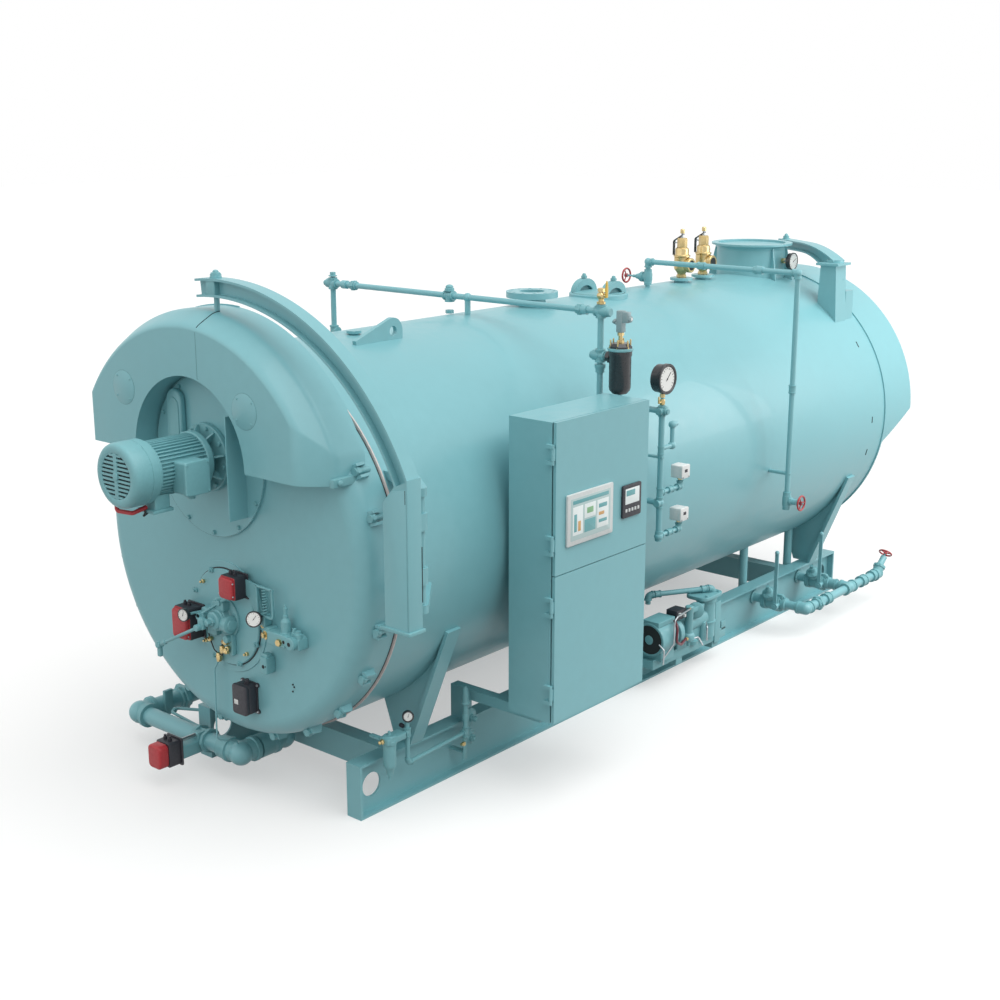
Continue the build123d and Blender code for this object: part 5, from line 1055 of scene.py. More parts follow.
def gaugeFittings():
    g = gaugeLine
    x, y, r = g["x"], g["y"], g["pipe"]
    up = upward
    cast = [tee((x, y, g["top"]), up, toLeft, r, 2.2),
            turned([(r * 1.5, 0), (r * 1.5, 34), (r, 36), (r, 44)], (x, y, g["top"]), toRight, 20),
            turned([(r * 1.5, 0), (r * 1.5, 36), (r * 1.1, 38)], (x, y, g["top"]), toFront, 20),
            turned([(r * 1.5, 0), (r * 1.5, 40), (r * 1.1, 42)], (x, y, g["top"]), toRear, 20),
            tee((x, y, g["low"]), up, toLeft, r, 2.2),
            turned([(r * 1.5, 0), (r * 1.5, 34)], (x, y, g["low"]), toFront, 20),
            turned([(r * 1.55, -4), (r * 1.55, 28), (r * 1.2, 32)], (x, y, g["foot"]), up, 22),
            coupling((x, y, (g["top"] + g["low"]) / 2 + 40), up, r, 3.4)]
    for z in g["switches"]:
        tap = z - 90
        cast += [tee((x, y, tap), up, toRear, r, 2.1), elbow((x, g["switchY"], tap), toFront, upward, r, 2.4),
                 coupling((x, (y + g["switchY"]) / 2, tap), toRear, r, 3.2)]
    # bracket bar from the manifold to the shell
    cast.append(softBox((g["barRoot"], y - 16, g["barZ"]), (x + 18, y + 10, g["barZ"] + g["barThick"]), 3, 1.5))
    place("gauge_fittings", "boiler", [(s, castEnamel) for s in cast])


def limitSwitches():
    g = gaugeLine
    half = g["switchHalf"]
    shapes = []
    for z in g["switches"]:
        low, high = vec(g["x"] - half, g["switchY"] - half, z - half), vec(g["x"] + half, g["switchY"] + half, z + half)
        shapes.append((softBox(low + vec(0, 0, 4), high - vec(16, 0, 0), 8, 3, toRight), whiteAbs))
        shapes.append((softBox(low + vec(58, -1, 2), high + vec(0, 1, 1), 9, 4, toRight), whiteAbs))
        shapes.append((softBox((high[0] - 0.6, g["switchY"] - 14, z - 2), (high[0] + 0.8, g["switchY"] + 14, z + 16),
                               2, 0.4, toRight), blackAbs))
        shapes.append((spotted([(high[0], g["switchY"] + s * 30, z - 30) for s in (-1, 1)], toRight, 4), zincSteel))
        shapes.append((turned([(17, 0), (17, 10), (12, 12)], (g["x"], g["switchY"], low[2] - 8), upward, 6),
                       turnedBrass))
        shapes.append((turned([(13, 0), (13, 14), (9, 16)], (g["x"], high[1] - 1, z + 10), toRear, 6), blackAbs))
    return place("limit_switches_dressed", "boiler", shapes, ("limit_switches",))


# Operator panel: wide screen in a pale bezel with plain coloured bars, and a small black controller with its own
# display.
screen = dict(low=(1335.0, -1808.0, 1422.0), high=(1349.0, -1420.0, 1693.0), rim=26.0,
              controllerLow=(1335.0, -1332.0, 1472.0), controllerHigh=(1349.0, -1166.0, 1650.0))


def operatorPanel():
    s = screen
    low, high, rim = vec(*s["low"]), vec(*s["high"]), s["rim"]
    front = high[0]
    shapes = [(softBox(low, high, 9, 4, toRight), paleBezel)]
    shapes.append((softBox((front - 1, low[1] + rim, low[2] + rim), (front + 0.6, high[1] - rim, high[2] - rim), 3,
                           0.3, toRight), displayGrey))
    bars = [(0.05, 0.86, 0.95, 0.95, displayTeal), (0.05, 0.12, 0.30, 0.80, displayWhite),
            (0.34, 0.46, 0.62, 0.80, displayWhite), (0.34, 0.12, 0.62, 0.42, displayTeal),
            (0.66, 0.12, 0.95, 0.80, displayWhite), (0.08, 0.20, 0.15, 0.62, displayTeal),
            (0.18, 0.20, 0.25, 0.44, displayAmber), (0.70, 0.60, 0.91, 0.70, displayTeal),
            (0.70, 0.42, 0.84, 0.50, displayAmber), (0.70, 0.24, 0.91, 0.32, displayTeal),
            (0.40, 0.56, 0.56, 0.70, displayGreen)]
    wide, tall = high[1] - low[1] - 2 * rim, high[2] - low[2] - 2 * rim
    for k, (left, foot, right, top, shade) in enumerate(bars):
        lift = 0.9 + 0.15 * (k > 4)
        shapes.append((softBox((front + 0.2, low[1] + rim + left * wide, low[2] + rim + foot * tall),
                               (front + lift, low[1] + rim + right * wide, low[2] + rim + top * tall), 2, 0.1,
                               toRight), shade))
    cLow, cHigh = vec(*s["controllerLow"]), vec(*s["controllerHigh"])
    shapes.append((softBox(cLow, cHigh, 10, 4, toRight), blackAbs))
    shapes.append((softBox((front - 1, cLow[1] + 20, cLow[2] + 74), (front + 0.6, cHigh[1] - 20, cHigh[2] - 20), 3,
                           0.3, toRight), displayWhite))
    shapes.append((softBox((front - 1, cLow[1] + 28, cLow[2] + 118), (front + 0.9, cHigh[1] - 60, cHigh[2] - 30), 2,
                           0.1, toRight), displayTeal))
    keys = [(front + 1.0, cLow[1] + 30 + 27 * k, cLow[2] + 40) for k in range(5)]
    shapes.append((repeated(softBox((-1.5, -8, -9), (1.2, 8, 9), 3, 0.8, toRight), keys), paleBezel))
    return place("operator_panel_dressed", "upper_panel", shapes, ("operator_panel",))


gaugePiece()
gaugeFittings()
limitSwitches()
operatorPanel()
print("gauges and panel dressed")


def holedPlate(outline, hole, radius, axisX, thick, count=72):
    # plate across x with a round hole: for each direction from the hole's centre the outer ring takes the nearest
    # outline edge
    hole = np.array(hole, float)
    start = np.array(outline, float) - hole
    edge = np.roll(start, -1, 0) - start
    angle = np.arange(count) * 2 * np.pi / count
    ray = np.stack([np.cos(angle), np.sin(angle)], -1)[:, None]
    crossed = ray[..., 0] * edge[None, :, 1] - ray[..., 1] * edge[None, :, 0]
    crossed = np.where(np.abs(crossed) < 1e-9, 1e-9, crossed)
    reach = (start[None, :, 0] * edge[None, :, 1] - start[None, :, 1] * edge[None, :, 0]) / crossed
    along = (start[None, :, 0] * ray[..., 1] - start[None, :, 1] * ray[..., 0]) / crossed
    reach = np.where((along >= -1e-6) & (along <= 1 + 1e-6) & (reach > 0), reach, 1e9).min(1)
    outer, inner = hole + reach[:, None] * ray[:, 0], hole + radius * ray[:, 0]
    rings = [np.column_stack([np.full(count, axisX + side * thick / 2), ring]) for ring,
             side in ((outer, -1), (outer, 1), (inner, 1), (inner, -1))]
    points = np.array(rings)
    faces = gridFaces(5, count)
    return points.reshape(-1, 3), [[i % (4 * count) for i in face] for face in faces]


# Lifting lug: plate with a round eye and a long sloping tail.
lifting = dict(x=215.0, thick=26.0, eye=(-1884.0, 2424.0), eyeRadius=27.0, crown=71.0, foot=2376.0, tail=-2160.0)


def liftingLug():
    v = lifting
    turn = np.radians(np.linspace(118, 0, 16))
    crown = np.stack([v["eye"][0] + v["crown"] * np.cos(turn), v["eye"][1] + v["crown"] * np.sin(turn)], -1)
    outline = np.concatenate([[(v["tail"], v["foot"]), (v["tail"], 2400)], crown,
                              [(v["eye"][0] + v["crown"], v["foot"])]])
    return place("lifting_lug_dressed", "boiler",
                 [(holedPlate(outline, v["eye"], v["eyeRadius"], v["x"], v["thick"]), tealEnamel)], ("lifting_lug",))


# Swing davit trim: domed hanger nut, block between the flanges, the leg's front and side plates, and painted shade
# strips where its slots fall in shadow.
davit = dict(y=-2870.0, nutZ=2770.0, legFront=-2913.0, legLow=1260.0, sideX=1300.0, sideTop=1974.0,
             front=((1152, 1260), (1296, 1260), (1298, 1930), (1204, 1908), (1164, 1862), (1152, 1846)))


def davitTrim():
    d = davit
    y = d["y"]
    shapes = [(turned([(30, 0), (30, 6)], (0, y, d["nutZ"] - 1), upward, 24), castEnamel),
              (turned([(26, 5), (26, 24), (22, 27)], (0, y, d["nutZ"]), upward, 6), castEnamel),
              (turned([(15, 26), (15, 32), (10, 38), (1, 40)], (0, y, d["nutZ"]), upward, 18), castEnamel),
              (softBox((-34, -2908, 2686), (30, -2832, 2760), 5, 3), castEnamel)]
    front = np.array(d["front"], float)
    middle = front.mean(0)
    shapes.append((slab(front - middle, (middle[0], d["legFront"], middle[1]), toFront, 7, 2.5, upward), tealEnamel))
    shapes.append((softBox((d["sideX"] - 2, d["legFront"] - 4, d["legLow"]), (d["sideX"] + 6, -2826, d["sideTop"]), 3,
                           2), tealEnamel))
    # painted shade: dark strips for the shadowed slot at the top of the leg front and behind the leg's right side
    shapes.append((softBox((1289, d["legFront"] - 4.4, 1862), (1293, d["legFront"], 1926), 1.5, 0.5), deepShade))
    shapes.append((softBox((d["sideX"] + 3, -2829, 1387), (d["sideX"] + 8, -2824, 1650), 2, 1), deepShade))
    shapes.append((softBox((1126, -2926, d["legLow"] - 16), (1316, -2816, d["legLow"] + 2), 6, 4), castEnamel))
    place("davit_trim", "front_door", shapes)


liftingLug()
davitTrim()

# Air compressor set: tray on two arms, motor with an open fan end and flat top cover, coupling guard, upright filter,
# receiver under a bolted plate, bright and dark red tubes and the slanting air pipe.
air = dict(trayLow=(604.0, -196.0, 150.0), trayHigh=(800.0, 654.0, 205.0), arms=(109.0, 536.0), armHalf=35.0,
           armLow=102.0, x=762.0, z=343.0, radius=108.0,
           motorFront=-192.0, motorRear=0.0, filter=(836.0, 146.0), tank=(770.0, 446.0), tankRadius=62.0,
           plateLow=(692.0, 300.0, 482.0),
           plateHigh=(857.0, 530.0, 506.0), pipeStart=(802.0, 470.0, 530.0), pipeEnd=(565.0, 73.0, 530.0), pipe=17.0,
           brightTubes=((24.0, ((850, 150, 486), (884, -60, 490), (886, -96, 470), (886, -100, 320), (856, -180, 226))),
                        (14.0, ((880, 250, 212), (846, 246, 262), (838, 160, 268))),
                        (16.0, ((846, 350, 210), (846, 350, 300), (800, 400, 320))),
                        (20.0, ((872, -192, 206), (880, -196, 300), (840, -194, 330)))),
           redTube=((840, -30, 446), (884, -60, 420), (884, -66, 320), (870, 10, 282), (838, 120, 290)))


def compressorSet():
    a = air
    x, z, r = a["x"], a["z"], a["radius"]
    up, back = upward, toRear
    low, high = vec(*a["trayLow"]), vec(*a["trayHigh"])
    teal = [softBox(low, high, 4, 3),
            softBox((high[0] - 8, low[1], high[2] - 4), (high[0], high[1], high[2] + 10), 2, 1.5)]
    teal += [softBox((low[0], y - a["armHalf"], a["armLow"]), (high[0] - 6, y + a["armHalf"], low[2] + 1), 4, 3)
             for y in a["arms"]]
    long = a["motorRear"] - a["motorFront"]
    face = (x, a["motorFront"], z)
    teal += [turned([(96, 0), (r - 4, 0), (r, 4), (r, long - 30), (r - 7, long - 28), (r - 7, long - 8),
                     (r - 16, long)], face, back, 44),
             softBox((x - 58, a["motorFront"] + 6, z + r - 20), (x + 66, a["motorRear"] - 4, z + r + 14), 6, 4),
             softBox((x - 76, a["motorFront"] + 30, high[2] - 2), (x + 76, a["motorRear"] - 20, high[2] + 60), 6, 3),
             turned([(30, 1), (30, -3), (24, -5)], face, back, 20),
             turned([(84, 0), (88, 3), (88, 40), (84, 44)], (x + 14, a["motorRear"] + 22, z - 4), back, 40),
             softBox((x - 70, a["motorRear"] + 70, high[2] - 2), (x + 40, 400, z - 20), 10, 4),
             turned([(58, 0), (60, 4), (60, 330), (52, 336)], (x, a["motorRear"] + 70, z), back, 32)]
    shade = [turned([(93, 0), (93, 1)], (x, a["motorFront"] - 0.6, z), back, 40),
             turned([(40, 0), (40, 26)], (x + 10, a["motorRear"] - 2, z), back, 24)]
    fx, fy = a["filter"]
    teal += [turned([(8, 262), (30, 266), (38, 274), (40, 300), (34, 312), (26, 318), (26, 470), (28, 474), (28, 492),
                     (22, 498)], (fx, fy, 0), up, 26),
             turned([(50, 0), (53, 4), (53, 24), (40, 32)], (808, 262, 436), (0.64, -0.77, 0), 32),
             turned([(12, 230), (12, 268)], (fx, fy, 0), up, 12),
             softBox((fx - 20, fy + 10, 440), (fx + 4, 320, 470), 6, 3)]
    tx, ty = a["tank"]
    tr = a["tankRadius"]
    teal += [turned([(tr, 205), (tr, 300), (tr + 5, 302), (tr + 5, 312), (tr, 314), (tr, 440), (tr + 8, 444),
                     (tr + 8, 482)], (tx, ty, 0), up, 36)]
    pLow, pHigh = vec(*a["plateLow"]), vec(*a["plateHigh"])
    teal += [softBox(pLow, pHigh, 44, 4),
             spotted([(pHigh[0] - 22, pHigh[1] - 40, pHigh[2]), (pHigh[0] - 18, pLow[1] + 44, pHigh[2]),
                      (pLow[0] + 22, pLow[1] + 30, pHigh[2]), (pLow[0] + 24, pHigh[1] - 34, pHigh[2])], up, 10),
             softBox((798, 508, 136), (808, 574, 420), 3, 2), softBox((790, 600, 205), (800, 654, 262), 3, 2),
             turned([(20, 205), (20, 330), (14, 334)], (812, 350, 0), up, 18),
             turned([(34, 205), (34, 226), (24, 232)], (800, 250, 0), up, 20)]
    pipeStart, pipeEnd = vec(*a["pipeStart"]), vec(*a["pipeEnd"])
    run = unit(pipeEnd - pipeStart)
    p = a["pipe"]
    teal += [rodBetween(pipeStart, pipeEnd, p, 20), elbow(pipeStart, run, downward, p, 2.0),
             elbow(pipeEnd, -run, downward, p, 2.0), coupling(pipeStart + run * 62, run, p, 2.6),
             coupling(pipeEnd - run * 66, run, p, 2.6), rodBetween(pipeEnd, pipeEnd - vec(0, 0, 60), p, 18)]
    shapes = [(s, castEnamel) for s in teal] + [(s, deepShade) for s in shade]
    shapes.append((softBox((x - 10, a["motorRear"] + 4, z + 88), (x + 74, a["motorRear"] + 110, z + 150), 6, 3),
                   blackAbs))
    shapes.append((repeated(softBox((-14, -10, -9), (14, 10, 9), 3, 2),
                            [(x + 76, a["motorRear"] + 30, z + 128), (x + 76, a["motorRear"] + 78, z + 110)]),
                   whiteAbs))
    shapes += [(swept(rounded(path, bend), 5.5, 10), zincSteel) for bend, path in a["brightTubes"]]
    shapes.append((swept(rounded(a["redTube"], 40), 9, 12), maroonEnamel))
    shapes.append((joined([union((850, 130, 486), (0.2, -1, 0), 6, 3.2), union((846, 112, 288), toRear, 8, 3.0)]),
                   turnedBrass))
    return place("compressor_dressed", "boiler", shapes, ("compressor_set", "compressor_motor"))


# Bottom blowdown: bolted valve bodies and flanges on both lines, lever hubs, and the banded fittings of the outer pipe.
blowdown = dict(ys=(1343.0, 1972.0), z=205.0, valveX=760.0, pipe=30.0, pipeX=1020.0, end=2394.0)


def blowdownTrim():
    b = blowdown
    z, r, vx = b["z"], b["pipe"], b["valveX"]
    right, back = toRight, toRear
    shapes = []
    for y in b["ys"]:
        for x in (vx - 64, vx - 44, vx + 44, vx + 64):
            shapes.append(turned([(58, -8), (62, -6), (62, 6), (58, 8)], (x, y, z), right, 32))
        shapes.append(boltRing((vx - 72, y, z), toLeft, 47, 8, 8))
        shapes.append(boltRing((vx + 72, y, z), toRight, 47, 8, 8))
        shapes.append(turned([(40, -44), (54, -30), (57, 0), (54, 30), (40, 44)], (vx, y, z), right, 30))
        shapes += [turned([(40, 0), (40, 58), (54, 60), (54, 72), (50, 74), (50, 76), (54, 78), (54, 88), (44, 92),
                           (26, 100), (20, 126), (14, 128), (14, 150)], (vx - 6, y, z), (0, -0.5, 0.87), 26),
                   boltRing((vx - 6, y - 0.5 * 88, z + 0.87 * 88), (0, -0.5, 0.87), 44, 6, 7),
                   softBox((vx + 40, y - 30, z - 20), (vx + 92, y - 6, z + 70), 6, 3),
                   spotted([(vx + 92, y - 18, z + 54), (vx + 92, y - 18, z + 10)], right, 8),
                   turned([(r * 1.5, 0), (r * 1.5, 34), (r * 1.25, 38)], (vx + 74, y, z), right, 22)]
        shapes.append(turned([(52, -3), (52, 3)], (614, y, z), right, 30))
    x = b["pipeX"]
    first, second = b["ys"]
    shapes += [elbow((x, first, z), toLeft, back, r, 2.1), union((x, first + 175, z), back, r, 2.6),
               coupling((x, first + 300, z), back, r, 2.2), tee((x, second, z), back, toLeft, r, 2.2),
               coupling((880, second, z), right, r, 3.0), coupling((x, second + 210, z), back, r, 2.4),
               coupling((x, b["end"] - 40, z), back, r, 2.6)]
    # Y body: barrel on the run and an inclined bonnet to the wheel
    lean = unit((0, 0.643, 0.766))
    foot = vec(x, b["end"] + 20, z - 2)
    shapes += [turned([(r * 1.55, -46), (r * 1.55, -28), (r * 1.3, -24), (r * 1.35, 30), (r * 1.0, 44)], foot, back,
                      24), turned([(r * 1.3, 0), (r * 1.3, 60), (r * 1.5, 64), (r * 1.5, 82), (r * 1.1, 86),
                                   (r * 0.6, 110), (r * 0.55, 150)], foot - lean * 10, lean, 24),
               turned([(r * 1.62, 64), (r * 1.62, 80)], foot - lean * 10, lean, 6)]
    place("blowdown_trim", "boiler", [(s, castEnamel) for s in shapes])


# Gas line: banded elbows, flanged union and couplings over the pipe, small tube loop, and the red and black valve
# actuator.
gasLine = dict(z=200.0, pipe=50.0, left=-1010.0, right=-125.0, y=-2752.0, riser=-2450.0, actuatorX=(-497.0, -385.0),
               actuatorZ=(130.0, 270.0), actuatorFront=-3090.0,
               split=-3026.0, base=-2950.0)


def gasTrim():
    g = gasLine
    z, r = g["z"], g["pipe"]
    corner = (g["left"], g["y"], z)
    shapes = [elbow(corner, toRear, toRight, r, 1.75, 1.2), elbow((g["right"], g["y"], z), toLeft, toRear, r, 1.9, 1.2),
              union((g["left"], g["y"] + 300, z), toRear, r * 0.92, 1.5),
              turned([(r * 1.4, -52), (r * 1.4, -34), (r * 1.16, -32), (r * 1.16, 32), (r * 1.4, 34), (r * 1.4, 52)],
                     (-430, g["y"], z), toRight, 8),
              turned([(r * 1.34, -40), (r * 1.34, 40), (r * 1.2, 44)], (g["right"], g["y"] + 150, z), toRear, 28),
              elbow((g["right"], g["riser"], z), toFront, upward, r, 1.7, 1.22),
              turned([(r * 1.28, -26), (r * 1.28, 26)], (-250, g["y"], z), toRight, 28)]
    # small sensing tube: down the head, along the pipe and back to the skid
    loop = rounded([(-690, -2560, 236), (-830, -2640, 236), (-800, -2690, 236), (-560, -2700, 222),
                    (-380, -2700, 230)], 26)
    shapes.append(swept(loop, 9, 12))
    shapes += [union((-812, -2660, 236), unit((0.4, -0.9, 0)), 9, 3.0),
               softBox((g["left"] + 40, g["y"] + 130, 150), (g["left"] + 60, g["y"] + 190, 300), 4, 2)]
    place("gas_trim", "boiler", [(s, castEnamel) for s in shapes])


def gasActuator():
    g = gasLine
    (x0, x1), (z0, z1) = g["actuatorX"], g["actuatorZ"]
    shapes = [(softBox((x0 + 3, g["actuatorFront"], z0 + 4), (x1 - 3, g["split"], z1 - 4), 26, 20, toRear), redAbs),
              (softBox((x0, g["split"] - 2, z0), (x1, g["base"], z1), 12, 5, toRear), blackAbs),
              (softBox((x0 - 8, g["base"] - 2, z0 - 8), (x1 + 8, g["base"] + 10, z1 + 8), 8, 3, toRear), blackAbs),
              (joined([turned([(12, 0), (12, 14), (8, 16), (8, 26)], (x0 + 32 + 40 * k, g["split"] + 36, z1 - 2),
                              upward, 6) for k in (0, 1)]), blackAbs),
              (softBox((x0 + 26, g["base"] + 8, z0 + 10), (x1 - 20, g["y"] - 30, z0 + 84), 8, 4, toRear), castEnamel),
              (softBox((x0 + 34, g["y"] - 60, z0 + 40), (x1 - 26, g["y"] + 10, z1 - 16), 8, 4), castEnamel),
              (rodBetween((x0 + 60, g["base"], z0 + 110), (x0 + 60, g["y"] - 20, z0 + 110), 11, 16), zincSteel)]
    return place("gas_actuator_dressed", "boiler", shapes, ("gas_actuator",))


# Air filter line: bowl filter with a brass plug, riser with a small dial, slanting run and a bolted regulator with its
# bonnet.
filterLine = dict(x=720.0, y=-2470.0, radius=36.0, riserY=-2335.0, pipeZ=250.0, gaugeZ=515.0, pipe=12.0, endY=-1880.0)


def filterPiece():
    f = filterLine
    x, y, r = f["x"], f["y"], f["radius"]
    up, back = upward, toRear
    base = (x, y, 0)
    rise = f["riserY"]
    cast = [turned([(4, 206), (9, 208), (9, 226), (18, 232), (22, 262), (32, 276), (r - 2, 290), (r - 1, 400),
                    (r + 3, 404), (r + 3, 422), (r - 1, 426), (r - 1, 446), (28, 452), (8, 454), (8, 470), (4, 474)],
                   base, up, 30),
            softBox((x - 34, y - 44, 410), (x + 34, y + 96, 446), 12, 5),
            rodBetween((x, y + 90, 424), (x, rise, 424), 14, 18), tee((x, rise, 424), up, toFront, 13),
            rodBetween((x, rise, f["pipeZ"]), (x, rise, f["gaugeZ"] - 28), f["pipe"], 16),
            elbow((x, rise, f["pipeZ"]), up, back, f["pipe"], 2.2),
            rodBetween((x, rise, f["pipeZ"]), (x, f["endY"], f["pipeZ"] + 22), f["pipe"], 16),
            tee((x, f["endY"], f["pipeZ"] + 22), up, toFront, 13, 2.0),
            turned([(14, f["pipeZ"] - 10), (14, 340), (20, 344), (20, 372), (16, 376), (16, 430), (24, 436), (24, 446),
                    (21, 450), (21, 496), (17, 520), (9, 536), (1, 541)], (x, f["endY"], 0), up, 24),
            softBox((610, f["endY"] - 18, 150), (x - 4, f["endY"] + 18, 158), 4, 2),
            softBox((x - 12, f["endY"] - 14, 110), (x - 2, f["endY"] + 14, 262), 4, 2),
            softBox((610, y - 40, 424), (x - 20, y - 10, 436), 4, 2)]
    disc = (x - 40, f["endY"] + 66, 330)
    for k, wide in ((0, 52), (-130, 46)):
        cast += [turned([(wide - 4, 0), (wide, 4), (wide, 14), (wide - 12, 18), (22, 26), (22, 40)],
                        (disc[0], disc[1], disc[2] + k * 0.9), toRight, 36),
                 boltRing((disc[0] + 14, disc[1], disc[2] + k * 0.9), toRight, wide - 8, 8, 5)]
    cast += [rodBetween((x - 10, f["endY"], 330), (disc[0], disc[1], 330), 12, 14),
             union((disc[0] + 52, disc[1], 330), toRight, 9, 3.4), union((disc[0] + 40, disc[1], 213), toRight, 9, 3.0)]
    shapes = [(s, castEnamel) for s in cast]
    shapes += [(turned([(15, 0), (15, 10), (10, 13), (10, 26), (6, 28)], (x - 4, y - 42, 428), toFront, 6),
                turnedBrass), (turned([(13, 0), (13, 12), (9, 14), (9, 26)], (x + 10, f["endY"] - 22, 214),
                                      (0, -1, 0.1), 6), turnedBrass),
               (turned([(12, 0), (12, 20), (9, 24)], (x - 26, rise - 8, 452), (0, -0.6, 0.5), 14), blackAbs)]
    shapes += dialGauge((x + 16, rise - 10, f["gaugeZ"]), (0.75, -0.64, 0.12), 31, 35, 70, 9, 0.26)
    return place("filter_line_dressed", "boiler", shapes, ("air_filter_line",))


compressorSet()
blowdownTrim()
gasTrim()
gasActuator()
filterPiece()
print("skid piping dressed")

# Surface blow line trim: elbows, union, wheel-valve bodies and the clip bar at the drop valve.
blowLine = dict(x=1130.0, y=800.0, z=2574.0, low=1110.0, topValve=2472.0, unionX=836.0, pipe=17.0, clipRoot=960.0,
                clipRise=172.0)


def blowTrim():
    b = blowLine
    x, y, z, r = b["x"], b["y"], b["z"], b["pipe"]
    up, right = upward, toRight
    shapes = [elbow((x, y, z), toLeft, downward, r, 2.2), union((b["unionX"], y, z), right, r, 2.6),
              coupling((x, y, (z + b["low"]) / 2), up, r, 3.0), coupling((420, y, z), right, r, 3.0),
              turned([(r * 1.5, -58), (r * 1.5, -42), (r * 1.7, -20), (r * 1.7, 20), (r * 1.5, 42), (r * 1.5, 58)],
                     (x, y, b["low"]), up, 22), boltRing((x + 34, y, b["low"]), right, 21, 4, 5, 45, 405),
              turned([(r * 1.4, 0), (r * 1.4, 22), (28, 24), (28, 36), (18, 40), (12, 58)], (x, y, b["low"]), right,
                     22), softBox((b["clipRoot"], y - 12, b["low"] + b["clipRise"]),
                                  (x + 18, y + 12, b["low"] + b["clipRise"] + 12), 4, 2)]
    valve = (0, y, b["topValve"])
    shapes += [turned([(r * 1.5, -52), (r * 1.5, -38), (r * 1.75, -18), (r * 1.75, 18), (r * 1.5, 38), (r * 1.5, 52)],
                      valve, up, 22),
               turned([(r * 1.6, 0), (r * 1.6, 30), (34, 32), (34, 40), (31, 42), (34, 44), (34, 52), (22, 56),
                       (16, 92), (10, 94), (10, 120)], valve, toLeft, 22),
               boltRing((-52, y, b["topValve"]), toLeft, 27, 4, 6, 45, 405),
               elbow((0, y, z), downward, toRight, r, 2.2)]
    place("blow_trim", "boiler", [(s, castEnamel) for s in shapes])


# Stack: rolled lip, a dial thermometer at its side and gusset fins down to the shell.
stack = dict(y=2131.0, radius=254.0, top=2619.0, dialX=354.0, dialZ=2499.0, dialRadius=62.0, fins=(-24, 14, 150, 205),
             finTop=2590.0,
             finLow=2330.0, finReach=66.0, finHalf=5.0)


def stackTrim():
    s = stack
    base = (0, s["y"], 0)
    lip = (turned([(s["radius"] - 2, s["top"] - 52), (s["radius"] + 5, s["top"] - 30),
                   (s["radius"] + 22, s["top"] - 16), (s["radius"] - 2, s["top"] - 14)], base, upward, 96), tealEnamel)
    place("stack_trim", "boiler", [lip])
    dial = dialGauge((s["dialX"], s["y"], s["dialZ"]), toRight, s["dialRadius"], 40, 30, 13, 0.12)
    dial.append((rodBetween((s["radius"] - 6, s["y"], s["dialZ"]), (s["dialX"] - 34, s["y"], s["dialZ"]), 11, 16),
                 zincSteel))
    dial.append((turned([(20, 0), (20, 20)], (s["radius"] + 4, s["y"], s["dialZ"]), toRight, 6), turnedBrass))
    place("stack_dial_dressed", "boiler", dial, ("stack_thermometer",))


def stackFins():
    s = stack
    shapes = []
    for turn in np.radians(s["fins"]):
        out, side = vec(math.cos(turn), math.sin(turn), 0), vec(-math.sin(turn), math.cos(turn), 0)
        outline = [(s["radius"] - 4, s["finTop"]), (s["radius"] + 10, s["finTop"]),
                   (s["radius"] + s["finReach"], s["finLow"]),
                   (s["radius"] - 4, s["finLow"])]
        flat = np.array([vec(0, s["y"], z) + out * r for r, z in outline])
        shapes.append((closedRings(np.stack([flat - side * s["finHalf"], flat + side * s["finHalf"]])), tealEnamel))
    place("stack_fins", "boiler", shapes)


# Rear joint: bright clamp strip round the shell, its rubber seam, and three slots painted dark as shade.
rearJoint = dict(y=shell["rearJoint"], z=shell["axisHeight"], radius=shell["radius"], strip=1003.0, seam=1001.5,
                 inner=990.0,
                 slotY=2220.0, slotTurns=(32, 0, -14))


def rearTrim():
    j = rearJoint
    strip = turned([(j["strip"], 0), (j["strip"], 7), (j["inner"], 7), (j["inner"], 0)], (0, j["y"] - 8, j["z"]),
                   toRear, 120)
    seam = turned([(j["seam"], 0), (j["seam"], 4), (j["inner"], 4), (j["inner"], 0)], (0, j["y"] + 3, j["z"]), toRear,
                  120)
    slots = []
    # each slot is a thin plate in the painted-shade finish, standing for a slot in shadow
    for turn in np.radians(j["slotTurns"]):
        out = vec(math.cos(turn), 0, math.sin(turn))
        seat = vec(0, j["slotY"], j["z"]) + out * (j["radius"] + 0.5)
        slots.append(slab(softRect(46, 9, 4), seat, out, 3, 0.8, toRear))
    place("rear_trim", "boiler",
          [(strip, zincSteel), (seam, darkRubber)] + [(s, deepShade) for s in slots])


# Rear davit arm: a tapering I-beam from its post to the lifting bolt over the rear head.
rearDavit = dict(post=(647.5, 2200.0), bolt=(0.0, 2630.0), low=2526.0, rise=85.0, riseRun=520.0, heel=50.0, tip=40.0,
                 depth=70.0,
                 taper=74.0, taperRun=420.0, wide=90.0, plate=11.0, web=14.0, boltLow=2405.0, steps=26)


